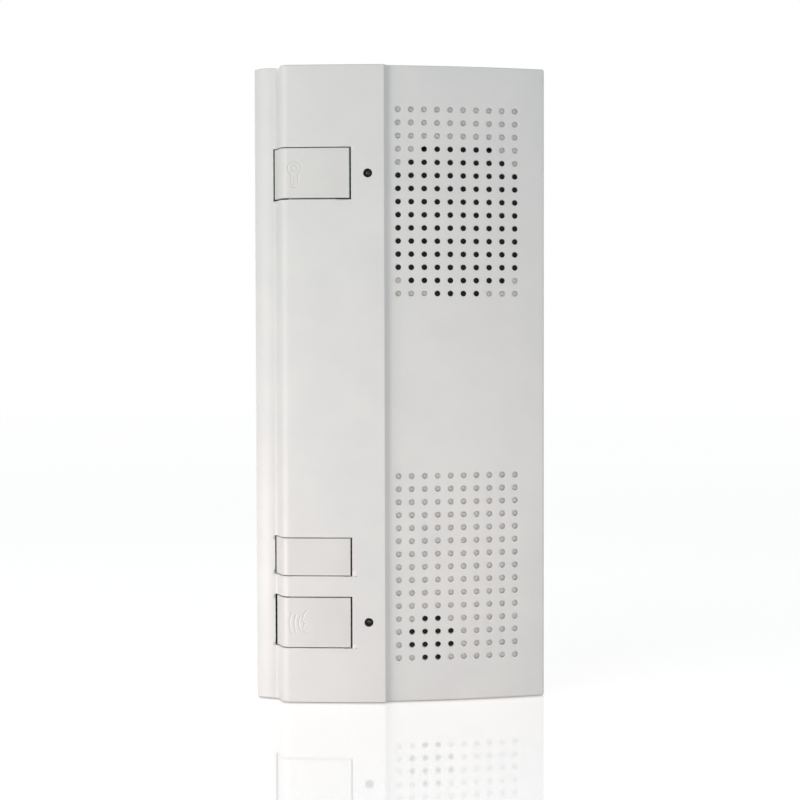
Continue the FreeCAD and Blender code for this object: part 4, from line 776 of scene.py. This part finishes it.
def hole_at(across, up):
    """The hole of the grille whose patch covers a place, or None."""
    column = round((across - GRILLE_LEFT) / PITCH)
    row = round((GRILLE_END - abs(up)) / PITCH)
    hole = GRILLE_LEFT + column * PITCH, math.copysign(GRILLE_END - row * PITCH, up)
    if 0 <= column < COLUMNS and 0 <= row < ROWS and within(across, up, hole, HOLE_SIDE):
        return hole
    return None


def within(across, up, middle, side):
    """Whether a place lies in a square."""
    return max(abs(across - middle[0]), abs(up - middle[1])) < side / 2


def goes_through(hole):
    """Whether a hole of the grille lies in front of the loudspeaker or the microphone."""
    return (math.dist(hole, SPEAKER) < SPEAKER_REACH
            or math.dist(hole, MICROPHONE) < MICROPHONE_REACH)


def left_open(across, up, inner):
    """Whether a place of the outer or inner skin belongs to a window or a patch."""
    for (left, right), (low, high) in OPENINGS.values():
        if left < across < right and low < up < high:
            return True
    if any(within(across, up, lamp, LAMP_SIDE) for lamp in LAMPS.values()):
        return True
    hole = hole_at(across, up)
    return hole is not None and (goes_through(hole) if inner else True)


holes = [(GRILLE_LEFT + PITCH * column, side * (GRILLE_END - PITCH * row))
         for side in (1, -1) for column in range(COLUMNS) for row in range(ROWS)]
print("holes:", len(holes), "of which open:", sum(map(goes_through, holes)))

# %% [markdown]
# The outer and inner skins are two grids with the same stations and lines. The border of each
# window lies on both of them, so a strip of faces from one to the other closes the window.

# %% The two skins of the housing
END_ROUND = 0.5                 # the radius of the edge at the top and at the bottom
END_STEPS = 5


def skin_grid(mesh, line, end, inner):
    """One skin of the housing: its vertices, line by line."""
    ups = [-end] + UP_LINES + [end]
    grid = [add_loop(mesh, [(across, out, up) for across, out in line]) for up in ups]
    for row, (low, high) in enumerate(zip(ups, ups[1:])):
        for column in range(len(line) - 1):
            across = (line[column][0] + line[column + 1][0]) / 2
            if not left_open(across, (low + high) / 2, inner):
                first, second = grid[row], grid[row + 1]
                add_face(mesh, (first[column], first[column + 1], second[column + 1], second[column]))
    return grid


def window_walls(mesh, grids, window):
    """The four walls of a button's window. Returns the edges of its outer rim."""
    (left, right), (low, high) = window
    first, last = (int(np.argmin(np.abs(OUTSIDE[:, 0] - edge))) for edge in (left, right))
    bottom, top = (UP_LINES.index(edge) + 1 for edge in (low, high))
    rims = [border([line[first:last + 1] for line in grid[bottom:top + 1]]) for grid in grids]
    skin(mesh, rims)
    return [mesh.edges.get(pair) for pair in zip(rims[0], rims[0][1:] + rims[0][:1])]


shell = bmesh.new()
outer_end = HALF_HEIGHT - END_ROUND
outer_grid = skin_grid(shell, OUTSIDE, outer_end, inner=False)
inner_grid = skin_grid(shell, INSIDE, HALF_HEIGHT - WALL, inner=True)
rims = [window_walls(shell, (outer_grid, inner_grid), window) for window in OPENINGS.values()]
print("skins:", len(shell.faces), "faces, rims:", [len(rim) for rim in rims])

# %% [markdown]
# At the top and bottom the outline shrinks a little in a few steps, which rounds the edge as
# the tool does. The end walls are flat, so one face each would do, but the lower one has a slot:
# a screwdriver pushed in there frees the housing from its wall plate. Two faces, one behind and
# one in front of the slot, share its edges, so no cutting is needed.

# %% End walls, with the release slot in the lower one
SLOT_HALF = 6.0
SLOT_OUT = (5.2, 7.7)


def end_wall(mesh, outline, up, slotted):
    """A flat end wall inside its outline. Returns the corners of the slot, if it has one."""
    if not slotted:
        add_face(mesh, outline)
        return None
    near, far = SLOT_OUT
    slot = add_loop(mesh, [(-SLOT_HALF, near, up), (SLOT_HALF, near, up),
                           (SLOT_HALF, far, up), (-SLOT_HALF, far, up)])
    add_face(mesh, [outline[0], slot[0], slot[1], outline[-1]])
    add_face(mesh, list(outline) + [slot[1], slot[2], slot[3], slot[0]])
    return slot


for side, last in ((-1, 0), (1, -1)):
    loops = [outer_grid[last]]
    for turn in np.linspace(0, math.pi / 2, END_STEPS)[1:]:
        line = section(END_ROUND * (1 - math.cos(turn)))
        up = side * (outer_end + END_ROUND * math.sin(turn))
        loops.append(add_loop(shell, [(across, out, up) for across, out in line]))
    skin(shell, loops, closed=False)
    slots = [end_wall(shell, loops[-1], side * HALF_HEIGHT, side < 0),
             end_wall(shell, inner_grid[last], side * (HALF_HEIGHT - WALL), side < 0)]
    if side < 0:
        skin(shell, slots)
    inner_line = inner_grid[last]
    rim = [loop[0] for loop in loops] + [loop[-1] for loop in reversed(loops)]
    add_face(shell, rim + [inner_line[-1], inner_line[0]])
for column in (0, -1):
    skin(shell, [[line[column] for line in grid] for grid in (outer_grid, inner_grid)], closed=False)
print("closed skins:", len(shell.faces), "faces")

# %% [markdown]
# The rims of the windows get a small bevel, because no moulded edge is perfectly sharp: it is
# what catches the light as a thin bright line round each button in the photograph.

# %% Soften the rims of the windows
RIM_BEVEL = 0.22
bmesh.ops.bevel(shell, geom=[edge for rim in rims for edge in rim], offset=RIM_BEVEL * MM,
                offset_type="OFFSET", segments=2, profile=0.5, affect="EDGES",
                clamp_overlap=False)
print("softened:", sum(len(rim) for rim in rims), "edges round the windows")

# %% [markdown]
# The tree now runs once for each field of holes, and once for each lamp, whose one patch lies on
# the crown instead of the panel. Where a line of the skin meets the side of a patch, the side is
# split there. Then every corner has a partner to merge with, and the housing is one closed mesh.

# %% Bring in the fields of holes
field_mesh = {
    "Open patch": OPEN_PATCH, "Closed patch": DIMPLE_PATCH, "Columns": COLUMNS, "Rows": ROWS,
    "Pitch": PITCH * MM, "Curve middle": at(*PANEL_CENTRE, 0), "Curve radius": PANEL_RADIUS * MM,
    "Finish": FINISHES["housing_plastic"],
}
fields = {
    "upper field": ((SPEAKER[0], GRILLE_END - PITCH * (ROWS - 1) / 2), SPEAKER, SPEAKER_REACH),
    "lower field": ((SPEAKER[0], PITCH * (ROWS - 1) / 2 - GRILLE_END), MICROPHONE,
                    MICROPHONE_REACH),
}
for name, (middle, opening, reach) in fields.items():
    made = run_tree(field_tree, name, {
        **field_mesh, "Middle": at(middle[0], 0, middle[1]),
        "Open middle": at(opening[0], 0, opening[1]), "Open reach": reach * MM})
    print(name, len(made.polygons), "faces")
    shell.from_mesh(made)
for name, (across, up) in LAMPS.items():
    made = run_tree(field_tree, name, {
        **field_mesh, "Open patch": LAMP_PATCH, "Columns": 1, "Rows": 1,
        "Middle": at(LAMP_ACROSS, 0, round(up, 3)), "Open middle": at(LAMP_ACROSS, 0, up),
        "Open reach": PITCH * MM, "Curve middle": at(*CROWN_CENTRE, 0),
        "Curve radius": CROWN_RADIUS * MM})
    shell.from_mesh(made)


def split_at_lines(mesh):
    """Splits the upright edges round the patches where a line of the skin crosses them."""
    found = 0
    for edge in [edge for edge in mesh.edges if edge.is_boundary]:
        low, high = sorted(edge.verts, key=lambda corner: corner.co.z)
        crossing = [line * MM for line in UP_LINES if low.co.z + MERGE < line * MM < high.co.z - MERGE]
        if crossing:
            share = (crossing[0] - low.co.z) / (high.co.z - low.co.z)
            bmesh.utils.edge_split(edge, low, share)
            found += 1
    return found


while split_at_lines(shell):
    pass
bmesh.ops.remove_doubles(shell, verts=shell.verts, dist=MERGE)
loose = [edge for edge in shell.edges if len(edge.link_faces) != 2]
print("edges that don't join two faces:", len(loose))

# %% [markdown]
# Inside the housing are the things that hold its load: a ring round the loudspeaker's cloth, a
# ring for the microphone, bosses for the screws, and two pairs of ears with a peg between them
# that hang on the hooks of the wall plate. They are closed solids that run into the wall.

# %% Walls, posts and blocks
BOARD_OUT = -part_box("main_board")[0].y / MM
RING_OUT = -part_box("speaker_gasket")[0].y / MM
WELL_RADIUS, WELL_DEPTH = 1.3, 4.5
BURIED = 0.6                    # how far a solid runs into the wall it stands on


def wall_inside(across):
    """How far out the inner skin lies at one place across."""
    return float(np.interp(across, INSIDE[:, 0], INSIDE[:, 1]))


def ring_wall(mesh, across, up, inner, thick, low):
    """A round wall whose front follows the curved inside of the housing."""
    loops = []
    for radius in (inner, inner + thick):
        foot = circle(across, up, radius, low, 64)
        top = [(x, wall_inside(x) + BURIED, z) for x, _, z in foot]
        loops += [add_loop(mesh, foot), add_loop(mesh, top)]
    skin(mesh, [loops[0], loops[1], loops[3], loops[2], loops[0]])


def boss(mesh, across, up, radius):
    """A round post with a well for a screw."""
    rings = [(WELL_RADIUS, BOARD_OUT + WELL_DEPTH), (WELL_RADIUS, BOARD_OUT), (radius, BOARD_OUT),
             (radius, wall_inside(across) + BURIED)]
    solid(mesh, [circle(across, up, size, out, 24) for size, out in rings])


def block(mesh, across, out, up, soften=0.2):
    """A box between two values each way, with softened edges."""
    part = bmesh.new()
    low, high = at(across[0], out[0], up[0]), at(across[1], out[1], up[1])
    bmesh.ops.create_cube(part, size=1.0)
    for corner in part.verts:
        share = corner.co + Vector((0.5, 0.5, 0.5))
        corner.co = [low[axis] + share[axis] * (high[axis] - low[axis]) for axis in range(3)]
    bmesh.ops.bevel(part, geom=list(part.edges), offset=soften * MM, segments=2, profile=0.5,
                    affect="EDGES", clamp_overlap=False)
    data = mesh_data(part, "part")
    mesh.from_mesh(data)
    bpy.data.meshes.remove(data)


print(f"the board lies {BOARD_OUT:.1f} mm out, the loudspeaker's ring {RING_OUT:.1f} mm")

# %% [markdown]
# The bosses stand where the engineering model has its screws. All screws of a kind are one node
# there, so its corners are first gathered into groups that lie together. The ears and pegs are
# set by the axis that the housing swings on.

# %% Rings, bosses and ears inside the housing
BOSS_RADII = {"board_screws": 3.0, "speaker_screws": 2.7}
SCREWS_APART = 6.0              # corners further apart belong to different screws
RING_CLEAR = 0.6                # keeps the ring clear of the outermost open holes
RING_THICK, MICROPHONE_THICK = 1.5, 1.2
MICROPHONE_LIFT = 1.5           # how far its ring stays off the board
EAR_INNER, EAR_OUTER, EAR_REACH = 3.4, 5.4, 2.0
PEG_RADIUS, PEG_BURIED = 1.2, 1.0
EAR_MIDDLES = (-30.0, 30.0)


def screw_places(node):
    """The middles of the separate screws of a node, across and up."""
    corners = [(corner.co.x / MM, corner.co.z / MM) for corner in nodes[node].data.vertices]
    places = []
    for here in corners:
        if all(math.dist(here, place) > SCREWS_APART for place in places):
            places.append(here)
    groups = [[] for _ in places]
    for here in corners:
        nearest = min(range(len(places)), key=lambda number: math.dist(here, places[number]))
        groups[nearest].append(here)
    return [tuple((np.min(group, 0) + np.max(group, 0)) / 2) for group in groups]


ring_wall(shell, *SPEAKER, SPEAKER_REACH + RING_CLEAR, RING_THICK, RING_OUT)
ring_wall(shell, *MICROPHONE, MICROPHONE_REACH, MICROPHONE_THICK, BOARD_OUT + MICROPHONE_LIFT)
for node, radius in BOSS_RADII.items():
    places = screw_places(node)
    print(node, [(round(across, 2), round(up, 2)) for across, up in places])
    for across, up in places:
        boss(shell, across, up, radius)

hinge = next(joint for joint in frame["record"]["behaviour"]["joints"]
             if joint["name"] == "housing_swing")
_, hinge_y, hinge_z = hinge["pos_m"]
hinge_out, hinge_up = -hinge_y / MM, hinge_z / MM
for middle in EAR_MIDDLES:
    for hand in (-1, 1):
        sides = sorted((middle + hand * EAR_INNER, middle + hand * EAR_OUTER))
        block(shell, sides, (hinge_out - EAR_REACH, hinge_out + EAR_REACH),
              (hinge_up - EAR_REACH, HALF_HEIGHT - WALL + BURIED))
    ends = (middle - EAR_OUTER + PEG_BURIED, middle + EAR_OUTER - PEG_BURIED)
    turns = [2 * math.pi * step / 24 for step in range(24)]
    solid(shell, [[(end, hinge_out + PEG_RADIUS * math.cos(turn), hinge_up + PEG_RADIUS * math.sin(turn))
                   for turn in turns] for end in ends])
finish_piece(shell, "housing", FINISHES["housing_plastic"], "front_housing",
             "housing_plastic", "front_cover")

# %% [markdown]
# Two of the buttons carry a mark, pressed into the face as a soft groove: a key for the door,
# and a talking head with waves for speech. A mark could be an image laid on the face, but a few
# lines drawn flat are enough here, and they stay sharp from however near the camera looks.

# %% Marks, drawn flat from the middle of a button's height
GROOVE_WIDTH = 0.72
GROOVE_DEPTH = 0.18
MARK_STEP = 0.14                # the spacing of the grid where a mark lies


def arc(across, up, radius, start, end, steps=16):
    """Points along an arc, with its angles in degrees."""
    turns = np.radians(np.linspace(start, end, steps))
    return [(across + radius * math.cos(turn), up + radius * math.sin(turn)) for turn in turns]


def key_mark(across, up):
    """The outline of a key: a round head with an eye, and a rounded stem with a slot."""
    head, neck = 2.3, 29
    outline = arc(across, up, head, neck - 90, 270 - neck, 28)
    outline += arc(across, up - 5.4, 1.15, 180, 360, 10)
    slot = arc(across, up - 3.7, 0.3, 0, 180, 6) + arc(across, up - 5.4, 0.3, 180, 360, 6)
    return [outline + outline[:1], arc(across, up, 1.0, 0, 360, 18), slot + slot[:1]]


def speech_mark(across, up):
    """Three waves of sound, and the side view of a talking head beside them."""
    waves = [arc(across + 8.4, up, radius, 180 - half, 180 + half, 14)
             for radius, half in ((8.4, 25), (6.8, 26), (5.2, 30))]
    head = [(6.3, 4.7), (5.6, 4.2), (5.1, 3.4), (4.9, 2.5), (4.3, 1.5), (4.4, 1.1), (5.0, 0.9)]
    head += [(4.8, 0.4), (6.0, 0.1), (4.9, -0.6), (4.7, -1.2), (4.5, -2.0), (5.0, -2.7), (6.2, -2.9)]
    return waves + [[(across + x, up + z) for x, z in head]]


MARKS = {"door_button": key_mark(-35.9, 1.8), "talk_button": speech_mark(-38.25, -0.4)}
print("lines in a mark:", {name: len(lines) for name, lines in MARKS.items()})

# %% [markdown]
# The face is a fine grid where its mark lies, and each point of the grid sinks by how near it
# is to the closest line. So the grooves are real shape: they catch the light on one side, and
# they follow the bank where the face curves away.

# %% The depth of the grooves
def groove(points, lines):
    """How deep the grooves are at each of many points (across, up)."""
    nearest = np.full(len(points), GROOVE_WIDTH)
    for line in lines:
        for start, end in zip(np.array(line), np.array(line[1:])):
            along = end - start
            share = np.clip((points - start) @ along / (along @ along), 0, 1)
            away = np.linalg.norm(points - start - share[:, None] * along, axis=1)
            nearest = np.minimum(nearest, away)
    return GROOVE_DEPTH * (0.5 + 0.5 * np.cos(np.minimum(2 * nearest / GROOVE_WIDTH, 1) * math.pi))


def mark_span(lines, axis):
    """Closely spaced values across a mark, along one axis."""
    values = [point[axis] for line in lines for point in line]
    return np.arange(min(values) - GROOVE_WIDTH, max(values) + GROOVE_WIDTH, MARK_STEP)


for name, lines in MARKS.items():
    print(name, "mark:", len(mark_span(lines, 0)), "by", len(mark_span(lines, 1)), "grid lines")

# %% [markdown]
# The buttons are cut from the same section, so their faces run on across the bank without a
# step. Each is a stack of rings: the underside, straight sides, and a rounded edge that turns
# into the face. Behind the face are the flange that stops it and the stem that presses
# the switch.

# %% The face of a cap
CAP_EDGE = 0.3                  # the radius of a cap's edge
# Close stations at both ends of a cap, where its edge turns away
LEFT_END, RIGHT_END = np.arange(-43.4, -41.9, 0.1), np.arange(-18.4, -17.0, 0.15)
near_a_cap = (OUTSIDE[:, 0] > -44) & (OUTSIDE[:, 0] < -16)
FACE_STATIONS = [OUTSIDE[near_a_cap, 0], LEFT_END, RIGHT_END]


def face_out(across, inset=0.0):
    """How far out a button's face, or a surface inside it, lies at one place across."""
    line = section(inset) if inset else OUTSIDE
    order = np.argsort(line[:, 0], kind="stable")
    return np.interp(across, line[order, 0], line[order, 1])


def cap_grid(stations, ups, margin, inset, lines=()):
    """Rows of points over a cap's face, or over a surface inside it."""
    stations = np.clip(stations, stations[0] + margin, stations[-1] - margin)
    ups = np.clip(ups, ups[0] + margin, ups[-1] - margin)
    outs = face_out(stations, inset)
    grid = np.array([[(x, out, up) for x, out in zip(stations, outs)] for up in ups])
    if lines:
        grid[..., 1] -= groove(grid[..., [0, 2]].reshape(-1, 2), lines).reshape(grid.shape[:2])
    return grid


print("stations across a face:", sum(len(part) for part in FACE_STATIONS))

# %% [markdown]
# In the photograph the gaps round the three caps differ a little, as they do when caps sit
# loosely on their switches, so each cap is trimmed by its own small amounts.

# %% Button caps
CAP_STEPS = 5
# How much shorter each cap is than its node: at the left, right, bottom and top
TRIMS = {"door_button": (0.0, 0.1, 0.2, 0.0), "service_button": (0.0, 0.1, -0.08, 0.0),
         "talk_button": (0.2, 0.1, 0.0, 0.12)}
FLANGE_HALF = 8.0               # half the flange's width
FLANGE_THICK, FLANGE_CLEAR = 1.2, 0.45
RIB_INSET, RIB_RISE, RIB_SHORTER = 0.3, 1.4, 2.0
STEM_RADIUS, STEM_BURIED = 2.0, 0.4
TIP_RADIUS, TIP_ROUND = 1.7, 0.3


def cap_face(mesh, across, up, lines):
    """The cap itself: its face with the grooves, its rounded edge, its sides and its back."""
    stations, ups = [across, *FACE_STATIONS], [up]
    if lines:
        stations.append(mark_span(lines, 0))
        ups.append(mark_span(lines, 1))
    stations = np.unique(np.round(np.clip(np.concatenate(stations), *across), 3))
    ups = np.unique(np.round(np.clip(np.concatenate(ups), *up), 3))
    back = cap_grid(stations, ups, 0.0, WALL)
    rings = [border(back)]
    for turn in np.linspace(0, math.pi / 2, CAP_STEPS):
        margin, inset = CAP_EDGE * (1 - math.cos(turn)), CAP_EDGE * (1 - math.sin(turn))
        rings.append(border(cap_grid(stations, ups, margin, inset)))
    skin(mesh, [add_loop(mesh, ring) for ring in rings])
    for grid in (back, cap_grid(stations, ups, CAP_EDGE, 0.0, lines)):
        skin(mesh, [add_loop(mesh, row) for row in grid], closed=False)


def button(name):
    """One push button, with the flange and stem behind its face."""
    low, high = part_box(name)
    left, right, below, above = TRIMS[name]
    across = (low.x / MM + left, high.x / MM - right)
    up = (low.z / MM + FLANGE_REACH + below, high.z / MM - FLANGE_REACH - above)
    centre = (low.z + high.z) / 2 / MM
    mesh = bmesh.new()
    cap_face(mesh, across, up, [[(x, z + centre) for x, z in line] for line in MARKS.get(name, [])])
    middle = (low.x + high.x) / 2 / MM
    sides = (middle - FLANGE_HALF, middle + FLANGE_HALF)
    front = wall_inside(sides[0]) - FLANGE_CLEAR
    back = front - FLANGE_THICK
    block(mesh, sides, (back, front), (low.z / MM, high.z / MM))
    block(mesh, (sides[0] + RIB_INSET, sides[1] - RIB_INSET), (back + RIB_INSET, front + RIB_RISE),
          (up[0] + RIB_SHORTER, up[1] - RIB_SHORTER), soften=0.1)
    tip = -high.y / MM
    rings = [(TIP_RADIUS, tip), (STEM_RADIUS, tip + TIP_ROUND), (STEM_RADIUS, back + STEM_BURIED)]
    solid(mesh, [circle(middle, centre, radius, out) for radius, out in rings])
    return mesh


for name in BUTTONS:
    node = name.replace("_button", "_push_button")
    finish_piece(button(name), node, FINISHES["button_plastic"], name, "button_plastic", name)

# %% [markdown]
# Behind two round holes sit the lamps: clear cast domes with a collar at the foot. From the
# front each is a dark disc with a faint highlight.

# %% Lamps
DOME, COLLAR, COLLAR_HEIGHT = 1.45, 1.9, 1.0
for name, (across, up) in LAMPS.items():
    low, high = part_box(name)
    tip, foot = -low.y / MM, -high.y / MM
    mesh = bmesh.new()
    rings = [(COLLAR, foot), (COLLAR, foot + COLLAR_HEIGHT), (DOME, foot + COLLAR_HEIGHT)]
    rings += [(DOME * math.cos(turn), tip - DOME + DOME * math.sin(turn))
              for turn in np.linspace(0, math.pi / 2, 10)[:-1]]
    solid(mesh, [circle(across, up, radius, out, 40) for radius, out in rings])
    finish_piece(mesh, name.replace("_lamp", "_lamp_dome"), FINISHES["lamp_lens"],
                 "front_housing", "lamp_lens", name)

# %% [markdown]
# The floor is a glossy white sheet, so that the unit stands on its own faint mirror image, as in
# the photograph. It glows for the camera alone, which brings it to a clean white while it still
# takes a soft shadow.

# %% Floor
FLOOR_DROP = 0.3
FLOOR_HALF = 4000.0
GLOW, GLOW_STRENGTH = "#fff6f2", 0.62   # warm, because the fill light is cool


def glowing(name, base, glow, strength, **sockets):
    """A finish that glows for the camera alone."""
    finish, tree, shader = new_finish(name, Base_Color=colour(base), Emission_Color=colour(glow),
                                      **sockets)
    seen = add(tree, "ShaderNodeLightPath").outputs["Is Camera Ray"]
    tree.links.new(maths(tree, "MULTIPLY", seen, strength), shader.inputs["Emission Strength"])
    return finish


mesh = bmesh.new()
corners = [(-1, -1), (1, -1), (1, 1), (-1, 1)]
add_face(mesh, add_loop(mesh, [(x * FLOOR_HALF, -y * FLOOR_HALF, -HALF_HEIGHT - FLOOR_DROP)
                               for x, y in corners]))
floor = new_object("floor", mesh_data(mesh, "floor"))
floor.data.materials.append(glowing("polished white sheet", "#f4f4f4", GLOW, GLOW_STRENGTH,
                                    Roughness=0.5, Specular_IOR_Level=0.0, Coat_Weight=1.0,
                                    Coat_Roughness=0.04, Coat_IOR=1.9))
print(f"floor: {FLOOR_DROP} mm under the unit")

# %% [markdown]
# The camera stands where the photographer's stood. The holes of the grille lie on an even grid,
# so where they appear in the picture gives its place, its lens and its small tilt. The turn is
# written for axes that run across, down and away from the camera, as a picture's do.

# %% Camera
PHOTO_SIDE = 800                        # pixels
FOCAL_PIXELS = 1716
CAMERA_PLACE = (-0.58, 625.6, 13.9)     # across, out, up
PITCH_DOWN, YAW, ROLL = 0.0323, -0.0009, -0.0024
camera_data = bpy.data.cameras.new("camera")
camera_data.sensor_width = 36.0
camera_data.lens = camera_data.sensor_width * FOCAL_PIXELS / PHOTO_SIDE
camera_data.clip_start = 0.01
camera = new_object("camera", camera_data)
across_down_away = Matrix(((1, 0, 0), (0, 0, -1), (0, 1, 0)))
turn = Matrix.Rotation(ROLL, 3, "Z") @ Matrix.Rotation(PITCH_DOWN, 3, "X") @ Matrix.Rotation(YAW, 3, "Y")
facing = Matrix.Diagonal((1, -1, -1)) @ turn @ across_down_away
camera.matrix_world = Matrix.Translation(at(*CAMERA_PLACE)) @ facing.transposed().to_4x4()
bpy.context.scene.camera = camera
print(f"camera: {camera_data.lens:.1f} mm lens")

# %% [markdown]
# The photograph is lit from its left by one large soft lamp, and its white table throws light
# back up. The key softbox does the first and two small lamps at the foot do the second. Two more
# stand behind, for the views of the back. The floor is left out of those four: its own glow
# already makes it the white of the photograph, and they would leave pools of light on it.

# %% Lights
MIDDLE = (0, 20, 0)             # of the unit: across, out, up


def softbox(name, place, target, size, power, tint):
    """A square lamp that faces a target. Places are across, out and up, in millimetres."""
    data = bpy.data.lights.new(name, "AREA")
    data.size = size * MM
    data.energy = power
    data.color = colour(tint)[:3]
    lamp = new_object(name, data)
    lamp.visible_camera = False
    towards = at(*target) - at(*place)
    lamp.matrix_world = (Matrix.Translation(at(*place))
                         @ towards.to_track_quat("-Z", "Y").to_matrix().to_4x4())
    return lamp


softbox("key softbox", (-642.8, 786.0, 100), MIDDLE, 900, 5.8, "#fffcf4")
own_lamps = [softbox("left foot lamp", (-173.2, 120.0, -98), (0, 20, -98), 80, 0.15, "#ffebeb"),
             softbox("right foot lamp", (175.0, 323.1, -90), (0, 20, -90), 120, 0.35, "#ffe9e0"),
             softbox("left back softbox", (-450, -780, 500), MIDDLE, 600, 4.0, "#ffffff"),
             softbox("right back softbox", (450, -780, 500), MIDDLE, 600, 4.0, "#ffffff")]
apart = bpy.data.collections.new("lit by the key and the world alone")
apart.objects.link(floor)
apart.collection_objects[0].light_linking.link_state = "EXCLUDE"
for lamp in own_lamps:
    lamp.light_linking.receiver_collection = apart
print("lamps:", 1 + len(own_lamps))

# %% [markdown]
# The rest of the light is the room's. The camera, mirrors and glass see a pure white room, while
# the object's own surfaces are lit by a dimmer, slightly blue one, which makes the shaded side
# as cool as it is in the photograph.

# %% World
FILL = "#9daab1"
world = bpy.data.worlds.new("white studio")
bpy.context.scene.world = world
world.use_nodes = True
sky = world.node_tree
background = sky.nodes["Background"]
path = add(sky, "ShaderNodeLightPath").outputs
seen = maths(sky, "MAXIMUM", path["Is Camera Ray"],
             maths(sky, "MAXIMUM", path["Is Glossy Ray"], path["Is Transmission Ray"]))
sky.links.new(two_colours(sky, seen, FILL, "#ffffff"), background.inputs["Color"])
background.inputs["Strength"].default_value = 1.0
bpy.context.scene.view_settings.view_transform = "Standard"
print("fill light:", FILL)
